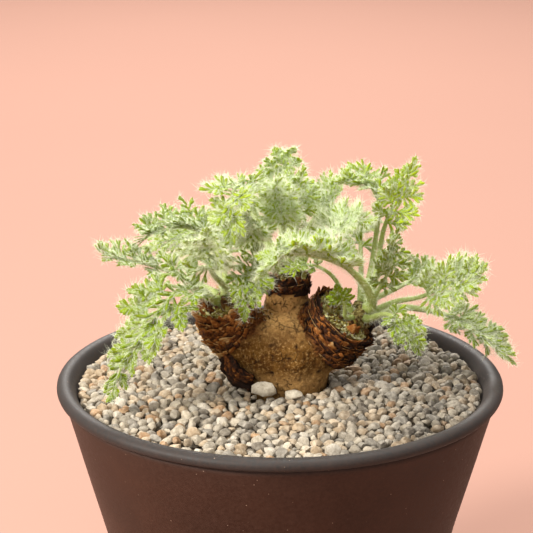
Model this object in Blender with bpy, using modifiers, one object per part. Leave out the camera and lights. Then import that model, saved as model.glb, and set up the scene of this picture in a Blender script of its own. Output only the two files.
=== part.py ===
"""Potted night-scented pelargonium.

A short woody caudex with three heads carries feathery, silky fronds. It stands in a
gravel-topped stoneware pot. Sizes are in millimetres and become metres in the meshes.
+Z is up, and the origin is the middle of the pot's underside.
"""
import math
import random

import bmesh
import bpy
from mathutils import Euler, Vector, geometry, noise
from mathutils.bvhtree import BVHTree

MM = 0.001
GAP = 0.35                     # clearance between pieces that touch
MERGE = 0.0001                 # merge distance of the turned shapes, in metres

# Pot
RIM_RADIUS = 60.0
POT_HEIGHT = 91.0
LIP_WIDE = 2.15                # half the width of the rounded lip
LIP_TALL = 1.75                # half its height
LIP_ANGLES = [150, 120, 90, 60, 25, -10, -45]
GROOVE = 0.4                   # depth of the groove under the lip
BODY_TOP_RADIUS = 58.2         # just under the lip
BODY_TOP = 87.3
WALL_SLOPE = 0.27              # radius gained for each millimetre of height
WALL = 3.6
INNER_RISE = 2.0               # how far the inner wall runs up past the body's top
FLOOR = 5.0
FOOT_BEVEL = 0.8
POT_SIDES = 36
DRAIN_RADIUS = 4.0
DRAIN_RING = 17.0              # the holes' distance from the middle
DRAIN_HOLES = 3
DRAIN_SIDES = 12
DRAIN_TURN = 0.25              # where the first hole lies, as a share of a hole's sector

# Filling, from the pot's floor up
DRAINAGE_TOP = 15.0
MIX_TOP = 84.0
GRAVEL_TOP = 88.2              # at the pot's wall
GRAVEL_MOUND = 1.0             # how much higher it lies at the caudex
MOUND_REACH = 27.0             # how far out the mound runs
GRAVEL_EDGE = 0.2              # how much lower the layer's outer edge lies
GRAVEL_HOLE = 0.1              # and its inner edge
FILL_SIDES = 20
PEBBLE_STEP = 3.55             # a pebble's middle and its edges are this far apart
PEBBLE_TURN = 0.26             # how far the packing's rows are turned, in radians
PEBBLE_RISE = 2.0
PEBBLE_SHARES = (0.8, 0.25, 0.1)   # how much of the rise a top and its two kinds of neighbour get
PEBBLE_CLEAR = 0.45            # the least distance to the layer's edges, as a share of the step
PEBBLE_JITTER = 0.30           # as a share of the step
RISE_JITTER = 0.22             # as a share of the rise
PEBBLE_SEED = 5
FLAT_TOLERANCE = 1e-6

# Caudex: each station is a centre x, y, z and the two half widths of its ring
LIMB_SIDES = 14
TRUNK = [
    (2.0, 1.2, 43.0, 1.2, 1.2), (2.1, 0.8, 61.0, 3.8, 3.8), (2.3, 0.3, 77.0, 7.6, 8.0),
    (2.4, 0.0, 83.7, 9.6, 10.4), (2.4, -0.2, 90.2, 10.8, 11.8), (2.3, -0.1, 92.8, 12.4, 12.4),
    (2.0, 0.2, 95.8, 14.4, 12.8), (1.5, 0.4, 99.5, 15.8, 12.2), (1.0, 1.2, 103.5, 13.0, 10.0),
    (1.0, 2.4, 106.0, 7.5, 6.5),
]
LEFT_LIMB = [
    (-4.6, 0.8, 98.8, 6.4, 6.8), (-9.2, -0.6, 101.5, 7.4, 7.8), (-12.6, -1.7, 104.5, 8.1, 8.0),
    (-14.2, -2.3, 107.5, 8.0, 7.6), (-15.2, -2.7, 110.6, 7.3, 7.0), (-15.2, -2.7, 110.4, 5.6, 5.4),
    (-14.8, -2.5, 109.2, 3.8, 3.6),
]
MIDDLE_LIMB = [
    (2.0, 2.6, 97.0, 10.5, 8.6), (1.9, 3.1, 103.5, 8.4, 7.2), (1.8, 3.8, 109.0, 6.2, 6.1),
    (1.9, 4.2, 113.0, 5.6, 5.8), (2.0, 4.5, 116.2, 5.5, 5.8), (2.0, 4.5, 116.0, 4.6, 4.6),
]
RIGHT_LIMB = [
    (6.5, 1.0, 97.0, 7.4, 7.0), (10.2, 0.2, 99.9, 9.1, 8.6), (13.4, -0.9, 103.2, 9.4, 9.0),
    (15.2, -1.6, 105.5, 9.2, 8.9), (16.6, -2.1, 107.4, 8.8, 8.6), (16.5, -2.1, 107.2, 7.2, 7.0),
    (15.9, -1.9, 106.3, 5.0, 4.8),
]
# The buds that the leaf stalks spring from: a centre, a radius, an axis and a stretch along it
BUDS = {
    "left": (Vector((-14.4, -1.6, 111.2)), 3.3, Vector((-0.2, -0.1, 1.0)), 1.25),
    "middle": (Vector((1.9, 4.6, 117.6)), 3.6, Vector((0.0, 0.0, 1.0)), 1.25),
    "right": (Vector((20.9, -1.0, 106.9)), 3.4, Vector((0.4, 0.0, 1.0)), 1.6),
    "woolly": (Vector((-4.6, -1.2, 106.4)), 2.8, Vector((-0.1, -0.35, 1.0)), 1.25),
}
KNOBBLE = 0.035                # how far bark swells and shrinks, as a share of the radius
KNOBBLE_SIZE = 7.0

# Dry scales round each head
SCALE_THICKNESS = 0.8
SCALE_NOTCH = 0.9              # how far the collar rises between two tips
SCALE_FLARE = 0.2              # how far a tip leans out for each millimetre of its height
BARK_THICKNESS = 0.8
BARK_LIFT = 0.15
BARK_ROWS = 6
BARK_COLUMNS = 4
BARK_TOP = Vector((-33.6, -30.0, 97.5))    # in front of the strip's two ends
BARK_FOOT = Vector((-26.6, -30.0, 91.4))
BARK_INWARD = Vector((0.8, 1.0, 0.0)).normalized()     # the way from there to the wood
BARK_HALF = 2.7                # half the strip's width at its top
BARK_NARROWING = 0.5           # how much narrower its foot is, as a share
BARK_SLANT = 0.45              # how much its rows climb to the right
BARK_CRUMPLE = 0.5             # how unevenly it stands off the wood
BARK_HANG = 2.0                # how far its middle hangs clear of the wood
BARK_SEED = 11

# Fronds
BLADE_THICKNESS = 0.64
MIDRIB_HALF = 0.62             # half width of the midrib at the blade's foot
MIDRIB_TIP_HALF = 0.42
LEAFLET_FOOT = 1.3             # a leaflet's width where it leaves the midrib
PETIOLE_SIDES = 5
PETIOLE_STEP = 6.0
PETIOLE_OVERLAP = 3.0          # how far the stalk runs on under the blade
CURL = 0.012                   # how fast leaflets bend down towards their tips
LEAFLET_EDGE = [(0.52, 1.0), (0.40, 0.27), (0.86, 0.80), (0.68, 0.22)]   # lobes, along and across
LEAFLET_LEAN = (64.0, 44.0)    # a leaflet's angle to the midrib, first pair and last
LEAFLET_SIZES = (0.86, 0.42, -0.56)        # its length along the blade, as a curve
WING = 0.32                    # its half width, as a share of its length
TIP_LENGTH = 0.66              # the leaflet at the blade's tip
TIP_WING = 0.22


def frond(crown, route, blade, pairs, leaflet, face, fold=15.0, stalk=0.9, taper=0.0):
    """One leaf: where it springs from, the way its stalk and midrib go, and its cut blade."""
    return dict(crown=crown, route=[Vector(p) for p in route], blade=blade, pairs=pairs, leaflet=leaflet,
                face=Vector(face), fold=math.radians(fold), stalk=stalk, taper=taper)


FRONDS = {
    # Left head
    "far_left": frond("left", [(-18, 0.5, 114.4), (-23.5, 3.5, 116.2), (-30.5, 4, 119), (-37, 3, 121.5),
                               (-44.6, 1, 124)], 14.5, 4, 7.0, (0.1, -0.3, 1), 10),
    "left_arch": frond("left", [(-14.6, 0.4, 118.2), (-16, 4.5, 124), (-20, 7.5, 128), (-25, 8.5, 129.6),
                                (-30, 8, 129.5), (-34.5, 7, 128.2)], 16, 4, 9.0, (-0.1, -0.6, 0.8), 10),
    "left_fluffy": frond("left", [(-14.8, -4.2, 117.2), (-17.2, -10, 122), (-18.5, -14.5, 126.5),
                                  (-18.4, -17, 131)], 9, 3, 7.2, (0, -1, 0.35), 15),
    "left_low": frond("left", [(-18.2, -6, 114.5), (-21.5, -11.5, 119), (-25.2, -16, 120.4),
                               (-29.5, -19.5, 117.6), (-34, -21.8, 112), (-38.2, -22.8, 106),
                               (-41.2, -23.5, 100.4), (-42.8, -23.8, 97)], 31, 5, 11.8,
                      (-0.3, -0.8, 0.5), 15, 1.1, 0.36),
    "back_left": frond("left", [(-15.2, 3.8, 113.6), (-18, 11, 119.5), (-22.5, 18, 121.5),
                                (-26.5, 25, 119.5), (-28.5, 30, 114.5)], 16, 4, 8.5, (-0.2, 0.3, 0.95)),
    # Middle head
    "left_back": frond("middle", [(-3.6, 6.2, 119.8), (-9, 12, 123.5), (-15, 17, 125.5), (-22.5, 19, 125),
                                  (-30, 19, 123.5), (-34, 18, 121.5)], 15, 4, 7.0, (0, -0.3, 1), 10),
    "left_hang": frond("middle", [(-1.3, 0, 120.8), (-5, -5, 123.8), (-8.3, -10, 124.8),
                                  (-10, -13.5, 122), (-10, -15.3, 117.5)], 10, 4, 6.2, (0, -1, 0.2), 12),
    "top_left": frond("middle", [(-1.1, 3.4, 123.6), (-4.5, 3, 131), (-8, 2, 138.5), (-10.5, -2.5, 144),
                                 (-12, -8, 144.6), (-12.8, -12.5, 141.2), (-13, -14.5, 137.5)], 18, 4, 9.8,
                      (-0.2, -0.5, 0.85), 12),
    "centre_left": frond("middle", [(-3.4, 3.2, 121), (-6.3, -3, 128), (-7.8, -8.2, 132.5),
                                    (-8.2, -10.5, 137)], 9, 3, 7.6, (-0.1, -1, 0.3), 15, 0.75),
    "top_spire": frond("middle", [(1.5, 8, 123.6), (0, 10.8, 130.5), (-0.8, 12, 137), (-0.3, 12, 142.5),
                                  (2, 11, 148)], 16, 4, 8.4, (0, -0.95, 0.3)),
    "centre_fan": frond("middle", [(2.2, 1.4, 123.6), (1, -0.8, 131), (0, -2, 138), (-0.5, -2.5, 144)],
                        9, 3, 7.0, (0, -1, 0.3)),
    "centre_right": frond("middle", [(2.7, 5.1, 124.1), (4.5, 5.5, 131), (5.2, 5, 138), (5.8, 5.5, 143)],
                          9, 3, 6.6, (0, -1, 0.3)),
    "right_fluffy": frond("middle", [(6.4, 4.2, 122.1), (9.8, 3.8, 126.5), (13.5, 1.5, 131),
                                     (17.2, -1.5, 134), (20.3, -3.6, 135)], 13, 4, 7.6, (-0.3, -0.6, 0.75)),
    "mid_right": frond("middle", [(4.9, 8, 122.6), (8, 11.5, 129), (11.5, 12.5, 135), (15, 13, 139.5)],
                       10, 3, 7.4, (-0.4, -0.8, 0.4)),
    "back_middle": frond("middle", [(1.6, 10.2, 120), (2.6, 18, 126), (4, 25, 126.5), (5, 30.5, 122.5),
                                    (5.5, 33.5, 117.5)], 17, 4, 9.0, (0, 0.4, 0.9)),
    "back_top": frond("middle", [(-2.1, 7.2, 122.4), (-6, 13, 129.5), (-10, 19, 132.5), (-13.5, 24.5, 131)],
                      12, 3, 8.0, (-0.2, 0.1, 1)),
    # Right head
    "front_arch": frond("right", [(21, -4, 113.5), (19.6, -7, 119), (16, -11, 124.8), (10.5, -14.5, 128.8),
                                  (5, -18, 130.4), (0.5, -21, 130.8), (-3, -23.5, 129.8)], 20, 5, 9.0,
                        (0, -0.2, 1), 35, 1.2),
    "under_arch": frond("right", [(17.8, -3.4, 111.6), (14.5, -6, 119.5), (10.5, -8.5, 123.6),
                                  (6.5, -10, 125), (2.5, -11.5, 124.3)], 8, 3, 4.6, (0, -0.7, 0.7), 12, 0.7),
    "right_top_left": frond("right", [(23.2, 1.6, 115), (24.8, 6, 121), (26, 10, 128), (26.6, 10.5, 135),
                                      (25.2, 9, 139.8), (22, 8, 142), (18.5, 7, 142.2)], 12, 4, 8.0,
                            (-0.1, -0.6, 0.8), 20),
    "right_top": frond("right", [(24.5, -1.2, 114.5), (26, 1.5, 122), (26.6, 2, 130), (28, 2, 136),
                                 (30.3, 2, 141), (31.6, 2, 145.5)], 16, 4, 8.8, (0, -1, 0.3)),
    "right_upright": frond("right", [(24, -4, 112.6), (26.3, -5, 117.5), (28, -5.5, 122.5),
                                     (28.6, -5.5, 126.5)], 9, 3, 6.6, (0.2, -1, 0.2)),
    "right_out": frond("right", [(26.4, -2.2, 110.4), (31, -3, 112.6), (36.5, -3.5, 113.8), (41.5, -4, 116),
                                 (46.5, -5, 119), (50.5, -5, 120.8)], 14, 4, 8.4, (-0.2, -0.85, 0.5)),
    "right_behind": frond("right", [(24.6, 3.4, 110.6), (31, 7.5, 112.5), (36.5, 10.5, 114.5),
                                    (39.5, 12.5, 115.6), (42, 13.5, 116)], 9, 3, 6.8, (0, -0.5, 0.85)),
    "right_low": frond("right", [(26.6, 0.6, 107.6), (32, 3.5, 108.6), (37.5, 5.5, 107.6), (43, 6, 106.3),
                                 (48.5, 6, 104.6), (53.5, 5, 101.8), (57, 4, 99), (59.5, 3.2, 96.6)],
                       18, 5, 8.2, (0.4, -0.5, 0.8), 12, 1.1),
    "right_droop": frond("right", [(23.6, -5.2, 108.6), (27.5, -9, 111), (31, -12, 110.4),
                                   (34, -13.5, 107.3), (35, -14, 103.5)], 11, 4, 6.6, (0.2, -1, 0.2)),
    "right_young": frond("right", [(17.2, -6.5, 109.5), (16.8, -9, 113.5), (15.2, -10.5, 118)],
                         5, 2, 4.4, (0, -1, 0.2), 12, 0.7),
    "back_right": frond("right", [(21.6, 4.4, 110.4), (22, 10.5, 118), (22, 16, 123.5), (22, 22.5, 125.5),
                                  (22.5, 28.5, 122.5)], 16, 4, 8.8, (0, 0.1, 1)),
}


def clear_scene():
    for thing in list(bpy.data.objects):
        bpy.data.objects.remove(thing)


def new_collection(name):
    collection = bpy.data.collections.new(name)
    bpy.context.scene.collection.children.link(collection)
    return collection


def new_material(name, colour, roughness, metallic=0.0):
    material = bpy.data.materials.new(name)
    material.use_nodes = True
    shader = material.node_tree.nodes["Principled BSDF"]
    shader.inputs["Base Color"].default_value = (*colour, 1.0)
    shader.inputs["Roughness"].default_value = roughness
    shader.inputs["Metallic"].default_value = metallic
    return material


def new_object(name, mesh, collection, material=None):
    piece = bpy.data.objects.new(name, mesh)
    collection.objects.link(piece)
    if material is not None:
        mesh.materials.append(material)
    return piece


def mesh_of(name, points, faces):
    """A mesh from points in millimetres."""
    mesh = bpy.data.meshes.new(name)
    mesh.from_pydata([Vector(p) * MM for p in points], [], faces)
    mesh.update()
    return mesh


def facing_out(mesh):
    """Turns every face of a closed mesh outwards."""
    work = bmesh.new()
    work.from_mesh(mesh)
    bmesh.ops.recalc_face_normals(work, faces=work.faces)
    work.to_mesh(mesh)
    work.free()
    return mesh


def smooth_shaded(piece, angle=50.0):
    piece.data.shade_smooth()
    piece.data.set_sharp_from_angle(angle=math.radians(angle))


def evaluated(piece):
    """The mesh that an object's modifiers make."""
    depsgraph = bpy.context.evaluated_depsgraph_get()
    return bpy.data.meshes.new_from_object(piece.evaluated_get(depsgraph), depsgraph=depsgraph)


def bake(piece):
    """Puts the modified mesh in the object and drops its modifiers."""
    material = piece.data.materials[0] if piece.data.materials else None
    mesh = evaluated(piece)
    piece.modifiers.clear()
    piece.data = mesh
    mesh.materials.clear()
    if material is not None:
        mesh.materials.append(material)


def remove(piece):
    mesh = piece.data
    bpy.data.objects.remove(piece)
    bpy.data.meshes.remove(mesh)


def circle(radius, sides, height):
    angles = [2 * math.pi * i / sides for i in range(sides)]
    return [Vector((radius * math.cos(a), radius * math.sin(a), height)) for a in angles]


def wall_radius(height):
    """The pot body's outer radius."""
    return BODY_TOP_RADIUS - WALL_SLOPE * (BODY_TOP - height)


def inside_radius(height):
    return wall_radius(height) - WALL


def fill_radius(height):
    """The radius of what fills the pot, clear of the wall's flat sides."""
    return (inside_radius(height) - GAP) * math.cos(math.pi / POT_SIDES)


def turned(name, profile, sides, collection, material):
    """A solid of revolution from (radius, height) points, from its inside up and over."""
    mesh = bpy.data.meshes.new(name)
    mesh.from_pydata([(r * MM, 0, z * MM) for r, z in profile],
                     [(i, i + 1) for i in range(len(profile) - 1)], [])
    piece = new_object(name, mesh, collection, material)
    screw = piece.modifiers.new("turn", "SCREW")
    screw.steps = screw.render_steps = sides
    screw.use_merge_vertices = True
    screw.merge_threshold = MERGE
    return piece


def lip_profile():
    """The rounded lip, from the inner wall over the top to the groove under it."""
    profile = []
    for angle in LIP_ANGLES:
        turn = math.radians(angle)
        radius = RIM_RADIUS + LIP_WIDE * (math.cos(turn) - 1)
        height = POT_HEIGHT + LIP_TALL * (math.sin(turn) - 1)
        profile.append((radius, height))
    profile.append((BODY_TOP_RADIUS - GROOVE, BODY_TOP + GROOVE))
    profile.append((BODY_TOP_RADIUS, BODY_TOP - GROOVE))
    return profile


def make_pot(collection, cutters, material):
    inner_top = BODY_TOP + INNER_RISE
    profile = [(0, FLOOR), (inside_radius(FLOOR), FLOOR), (inside_radius(inner_top), inner_top)]
    profile += lip_profile()
    profile += [(wall_radius(FOOT_BEVEL), FOOT_BEVEL), (wall_radius(0) - FOOT_BEVEL, 0), (0, 0)]
    pot = turned("pot", profile, POT_SIDES, collection, material)
    bake(pot)
    for i in range(DRAIN_HOLES):
        angle = 2 * math.pi * (i + DRAIN_TURN) / DRAIN_HOLES
        bpy.ops.mesh.primitive_cylinder_add(
            vertices=DRAIN_SIDES, radius=DRAIN_RADIUS * MM, depth=4 * FLOOR * MM,
            location=(DRAIN_RING * MM * math.cos(angle), DRAIN_RING * MM * math.sin(angle), 0))
        drill = bpy.context.object
        drill.name = "drain_cutter"
        for holder in list(drill.users_collection):
            holder.objects.unlink(drill)
        cutters.objects.link(drill)
        drill.hide_render = True
        drill.display_type = "WIRE"
        cut = pot.modifiers.new("drain", "BOOLEAN")
        cut.operation = "DIFFERENCE"
        cut.object = drill
    smooth_shaded(pot)
    return pot


def make_drainage(collection, material):
    low = FLOOR + GAP
    high = DRAINAGE_TOP
    profile = [(0, high), (fill_radius(high), high), (fill_radius(low), low), (0, low)]
    return turned("drainage_layer", profile, FILL_SIDES, collection, material)


def knobble(point):
    """How much wider or narrower the bark is at a place than its plain ring."""
    return 1.0 + KNOBBLE * noise.noise(point / KNOBBLE_SIZE)


def ring(stations, index, extra=0.0):
    """The ring of points round a limb at one of its stations, moved out by extra."""
    centre = Vector(stations[index][:3])
    before = Vector(stations[max(index - 1, 0)][:3])
    after = Vector(stations[min(index + 1, len(stations) - 1)][:3])
    axis = after - before
    if axis.z < 0 or axis.length < 1.0:
        axis = centre - Vector(stations[index - 2][:3])
    axis.normalize()
    across = (Vector((1, 0, 0)) - axis * axis.x).normalized()
    deep = axis.cross(across)
    wide, thick = stations[index][3:]
    points = []
    for i in range(LIMB_SIDES):
        angle = 2 * math.pi * i / LIMB_SIDES
        arm = across * wide * math.cos(angle) + deep * thick * math.sin(angle)
        arm *= knobble(centre + arm)
        points.append(centre + arm + arm.normalized() * extra)
    return points


def ring_between(stations, place, extra=0.0):
    """The ring at a fractional station, on the flat facets between two rings."""
    index = min(int(place), len(stations) - 2)
    share = place - index
    low = ring(stations, index, extra)
    high = ring(stations, index + 1, extra)
    return [a.lerp(b, share) for a, b in zip(low, high)]


def lofted(name, rings):
    """A closed solid through rings of equally many points."""
    sides = len(rings[0])
    points = [p for loop in rings for p in loop]
    faces = []
    for row in range(len(rings) - 1):
        for i in range(sides):
            j = (i + 1) % sides
            faces.append((row * sides + i, row * sides + j, (row + 1) * sides + j))
            faces.append((row * sides + i, (row + 1) * sides + j, (row + 1) * sides + i))
    last = (len(rings) - 1) * sides
    faces.append(tuple(reversed(range(sides))))
    faces.append(tuple(range(last, last + sides)))
    return facing_out(mesh_of(name, points, faces))


def bud_mesh(name, centre, radius, axis, stretch):
    """An egg-shaped bud."""
    work = bmesh.new()
    bmesh.ops.create_icosphere(work, subdivisions=2, radius=radius)
    turn = Vector((0, 0, 1)).rotation_difference(axis)
    for corner in work.verts:
        corner.co.z *= stretch
        corner.co = (turn @ corner.co + centre) * MM
    mesh = bpy.data.meshes.new(name)
    work.to_mesh(mesh)
    work.free()
    return mesh


def make_caudex(collection, material):
    """The trunk, its three heads and their buds, joined in one solid."""
    caudex = new_object("caudex", lofted("caudex", [ring(TRUNK, i) for i in range(len(TRUNK))]),
                        collection, material)
    limbs = new_collection("limbs")
    for name, stations in (("left", LEFT_LIMB), ("middle", MIDDLE_LIMB), ("right", RIGHT_LIMB)):
        rings = [ring(stations, i) for i in range(len(stations))]
        new_object("limb_" + name, lofted(name, rings), limbs)
    for name, shape in BUDS.items():
        new_object("bud_" + name, bud_mesh(name, *shape), limbs)
    join = caudex.modifiers.new("limbs", "BOOLEAN")
    join.operation = "UNION"
    join.operand_type = "COLLECTION"
    join.collection = limbs
    bake(caudex)
    for limb in list(limbs.objects):
        remove(limb)
    bpy.data.collections.remove(limbs)
    smooth_shaded(caudex)
    return caudex


def surface_of(piece):
    """A search tree of an object's surface, in millimetres."""
    mesh = evaluated(piece)
    corners = [v.co / MM for v in mesh.vertices]
    tree = BVHTree.FromPolygons(corners, [tuple(p.vertices) for p in mesh.polygons])
    bpy.data.meshes.remove(mesh)
    return tree


def ring_faces(outer, inner, between=()):
    """Triangles between two loops, seen in plan, as indices into outer + inner + between."""
    flat = [Vector((p.x, p.y)) for p in outer + inner + list(between)]
    edges = loop_edges(0, len(outer)) + loop_edges(len(outer), len(inner))
    places, _, faces, originals, _, _ = geometry.delaunay_2d_cdt(flat, edges, [], 0, FLAT_TOLERANCE)
    hole = flat[len(outer):len(outer) + len(inner)]
    kept = []
    for face in faces:
        middle = sum((places[i] for i in face), Vector((0, 0))) / len(face)
        if not inside_loop(middle, hole):
            kept.append(tuple(originals[i][0] for i in face))
    return kept


def loop_edges(first, count):
    """The edges of a closed loop that starts at this index."""
    return [(first + i, first + (i + 1) % count) for i in range(count)]


def inside_loop(point, loop):
    crossings = 0
    for a, b in zip(loop, loop[1:] + loop[:1]):
        if (a.y > point.y) != (b.y > point.y):
            if point.x < a.x + (b.x - a.x) * (point.y - a.y) / (b.y - a.y):
                crossings += 1
    return crossings % 2 == 1


def trunk_place(height):
    """Where along the trunk's stations a height lies."""
    for i in range(len(TRUNK) - 1):
        if TRUNK[i][2] <= height <= TRUNK[i + 1][2]:
            return i + (height - TRUNK[i][2]) / (TRUNK[i + 1][2] - TRUNK[i][2])
    raise ValueError(height)


def hole_ring(height):
    """The edge of the hole that the trunk stands in."""
    return [Vector((p.x, p.y, height)) for p in ring_between(TRUNK, trunk_place(height), GAP)]


def walls(first, second, count):
    """Quads between two loops that start at these indices."""
    return [(first + i, first + (i + 1) % count, second + (i + 1) % count, second + i) for i in range(count)]


def make_mix(collection, material):
    """The soil, with the plain hole that the root fills."""
    low = DRAINAGE_TOP + GAP
    outer_top = circle(fill_radius(MIX_TOP), FILL_SIDES, MIX_TOP)
    outer_low = circle(fill_radius(low), FILL_SIDES, low)
    heights = [MIX_TOP] + [s[2] for s in reversed(TRUNK) if s[2] < MIX_TOP - 1.0]
    holes = [hole_ring(h) for h in heights]
    for point in holes[-1]:
        point.z -= GAP
    points = outer_top + holes[0] + outer_low
    faces = ring_faces(outer_top, holes[0])
    start_low = len(outer_top) + LIMB_SIDES
    faces += walls(0, start_low, FILL_SIDES)
    faces.append(tuple(range(start_low, start_low + FILL_SIDES)))
    previous = FILL_SIDES
    for hole in holes[1:]:
        first = len(points)
        points = points + hole
        faces += walls(previous, first, LIMB_SIDES)
        previous = first
    faces.append(tuple(range(previous, previous + LIMB_SIDES)))
    return new_object("potting_mix", facing_out(mesh_of("potting_mix", points, faces)), collection, material)


def gravel_height(x, y):
    """The mean level of the pebbles: a low mound that rises towards the caudex."""
    near = math.exp(-(math.hypot(x, y) / MOUND_REACH) ** 2)
    return GRAVEL_TOP + GRAVEL_MOUND * near


def pebble_points(edge_radius, hole):
    """Points of a close packing: every third one is a pebble's top and the rest lie lower."""
    draw = random.Random(PEBBLE_SEED)
    step_y = PEBBLE_STEP * math.sqrt(3) / 2
    reach = int(edge_radius / step_y) + 2
    clear = PEBBLE_CLEAR * PEBBLE_STEP
    middle = sum(hole, Vector((0, 0, 0))) / len(hole)
    wide_hole = [p + (p - middle).normalized() * clear for p in hole]
    jitter = PEBBLE_JITTER * PEBBLE_STEP
    points = []
    for j in range(-reach, reach + 1):
        for i in range(-2 * reach, 2 * reach + 1):
            point = Vector(((i + 0.5 * j) * PEBBLE_STEP, j * step_y, 0))
            point.rotate(Euler((0, 0, PEBBLE_TURN)))
            point += Vector((draw.uniform(-jitter, jitter), draw.uniform(-jitter, jitter), 0))
            share = PEBBLE_SHARES[(i - j) % 3] + draw.uniform(-RISE_JITTER, RISE_JITTER)
            point.z = gravel_height(point.x, point.y) + share * PEBBLE_RISE
            if math.hypot(point.x, point.y) < edge_radius - clear and not inside_loop(point, wide_hole):
                points.append(point)
    return points


def make_gravel(collection, material):
    """The top dressing: a layer whose upper side is raised in pebbles."""
    low = MIX_TOP + GAP
    outer = circle(fill_radius(GRAVEL_TOP - GRAVEL_MOUND), POT_SIDES, GRAVEL_TOP - GRAVEL_EDGE)
    outer_low = circle(fill_radius(low), POT_SIDES, low)
    hole_top = GRAVEL_TOP + GRAVEL_MOUND - GRAVEL_HOLE
    inner = hole_ring(hole_top)
    inner_low = hole_ring(low)
    tops = pebble_points(outer[0].x, inner)
    points = outer + inner + tops
    faces = ring_faces(outer, inner, tops)
    first = len(points)
    points = points + outer_low + inner_low
    faces += walls(0, first, POT_SIDES)
    faces += walls(POT_SIDES, first + POT_SIDES, LIMB_SIDES)
    faces += [tuple(first + i for i in face) for face in ring_faces(outer_low, inner_low)]
    mesh = facing_out(mesh_of("gravel_dressing", points, faces))
    return new_object("gravel_dressing", mesh, collection, material)


def stands_clear(point, outward, caudex_surface):
    """Whether a point is outside the wood and not too near it."""
    _, _, _, distance = caudex_surface.find_nearest(point)
    hit, normal, _, _ = caudex_surface.ray_cast(point, outward)
    inside = hit is not None and normal.dot(outward) > 0
    return distance > 0.8 * GAP and not inside


def free_run(columns, caudex_surface):
    """The longest run of columns, round the ring, whose points all stand clear of the wood."""
    clear = []
    for outward, column in columns:
        clear.append(all(stands_clear(point, outward, caudex_surface) for point in column))
    count = len(columns)
    if all(clear):
        return list(range(count)), True
    best = []
    for start in range(count):
        run = []
        while len(run) < count and clear[(start + len(run)) % count]:
            run.append((start + len(run)) % count)
        if len(run) > len(best):
            best = run
    return best, False


def make_scales(name, stations, first, rim, tips, low_side, collection, material, caudex_surface):
    """A collar of dry scales round a head. Its tips stand highest away from low_side."""
    draw = random.Random(name)
    rows = [ring_between(stations, first, GAP), ring_between(stations, 0.5 * (first + rim), GAP + 0.7),
            ring_between(stations, rim, GAP + 0.35)]
    head = Vector(stations[rim][:3])
    axis = (head - Vector(stations[rim - 2][:3])).normalized()
    tip_row = []
    for i, point in enumerate(ring(stations, rim, GAP + 0.5)):
        outward = (point - head).normalized()
        share = 0.5 - 0.5 * outward.dot(Vector(low_side).normalized())
        height = max(SCALE_NOTCH, tips * (0.3 + 0.7 * share) * draw.uniform(0.8, 1.2))
        if i % 2:
            height = SCALE_NOTCH
        tip_row.append(point + (axis + outward * SCALE_FLARE) * height)
    rows.append(tip_row)
    columns = []
    for i in range(LIMB_SIDES):
        column = [row[i] for row in rows]
        outward = (column[0] - Vector(stations[int(first)][:3])).normalized()
        columns.append((outward, column + [p + outward * SCALE_THICKNESS for p in column]))
    run, closed = free_run(columns, caudex_surface)
    points = [row[i] for row in rows for i in run]
    count = len(run)
    faces = []
    for row in range(len(rows) - 1):
        for i in range(count if closed else count - 1):
            j = (i + 1) % count
            faces.append((row * count + i, row * count + j, (row + 1) * count + j))
            faces.append((row * count + i, (row + 1) * count + j, (row + 1) * count + i))
    collar = new_object(name, mesh_of(name, points, faces), collection, material)
    shell = collar.modifiers.new("shell", "SOLIDIFY")
    shell.thickness = SCALE_THICKNESS * MM
    shell.offset = 1.0
    return collar


def make_bark_flake(collection, material, caudex_surface):
    """The crumpled strip of bark that hangs on the lower left of the trunk."""
    draw = random.Random(BARK_SEED)
    points = []
    for row in range(BARK_ROWS):
        share = row / (BARK_ROWS - 1)
        half = BARK_HALF * (1 - BARK_NARROWING * share)
        for column in range(BARK_COLUMNS):
            across = (column / (BARK_COLUMNS - 1) - 0.5) * 2 * half
            start = BARK_TOP.lerp(BARK_FOOT, share) + Vector((across, 0, BARK_SLANT * across))
            hit, normal, _, _ = caudex_surface.ray_cast(start, BARK_INWARD)
            lift = GAP + BARK_LIFT + draw.uniform(0, BARK_CRUMPLE)
            hang = BARK_HANG * math.sin(math.pi * share)
            points.append(hit + BARK_INWARD * (lift / min(-0.5, normal.dot(BARK_INWARD)) - hang))
    faces = []
    for row in range(BARK_ROWS - 1):
        for column in range(BARK_COLUMNS - 1):
            a = row * BARK_COLUMNS + column
            faces.append((a, a + BARK_COLUMNS, a + 1))
            faces.append((a + 1, a + BARK_COLUMNS, a + BARK_COLUMNS + 1))
    flake = new_object("bark_flake", mesh_of("bark_flake", points, faces), collection, material)
    shell = flake.modifiers.new("shell", "SOLIDIFY")
    shell.thickness = BARK_THICKNESS * MM
    shell.offset = 1.0
    return flake


class Route:
    """A smooth curve through a few points, read by the length along it."""

    def __init__(self, points):
        ends = [points[0] * 2 - points[1]] + list(points) + [points[-1] * 2 - points[-2]]
        self.spots = []
        for i in range(1, len(ends) - 2):
            for k in range(12):
                self.spots.append(self.between(ends[i - 1:i + 3], k / 12))
        self.spots.append(points[-1])
        self.lengths = [0.0]
        for a, b in zip(self.spots, self.spots[1:]):
            self.lengths.append(self.lengths[-1] + (b - a).length)
        self.length = self.lengths[-1]

    @staticmethod
    def between(four, t):
        """A Catmull-Rom curve's point between the second and third of four."""
        a, b, c, d = four
        bend = 2 * a - 5 * b + 4 * c - d
        twist = 3 * b - a - 3 * c + d
        return 0.5 * (2 * b + (c - a) * t + bend * t ** 2 + twist * t ** 3)

    def spot(self, s):
        """The point s along, running straight on past either end."""
        last = len(self.spots) - 1
        i = 0
        while i < last - 1 and self.lengths[i + 1] < s:
            i += 1
        share = (s - self.lengths[i]) / (self.lengths[i + 1] - self.lengths[i])
        return self.spots[i] + (self.spots[i + 1] - self.spots[i]) * share

    def heading(self, s):
        return (self.spot(s + 0.8) - self.spot(s - 0.8)).normalized()


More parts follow.
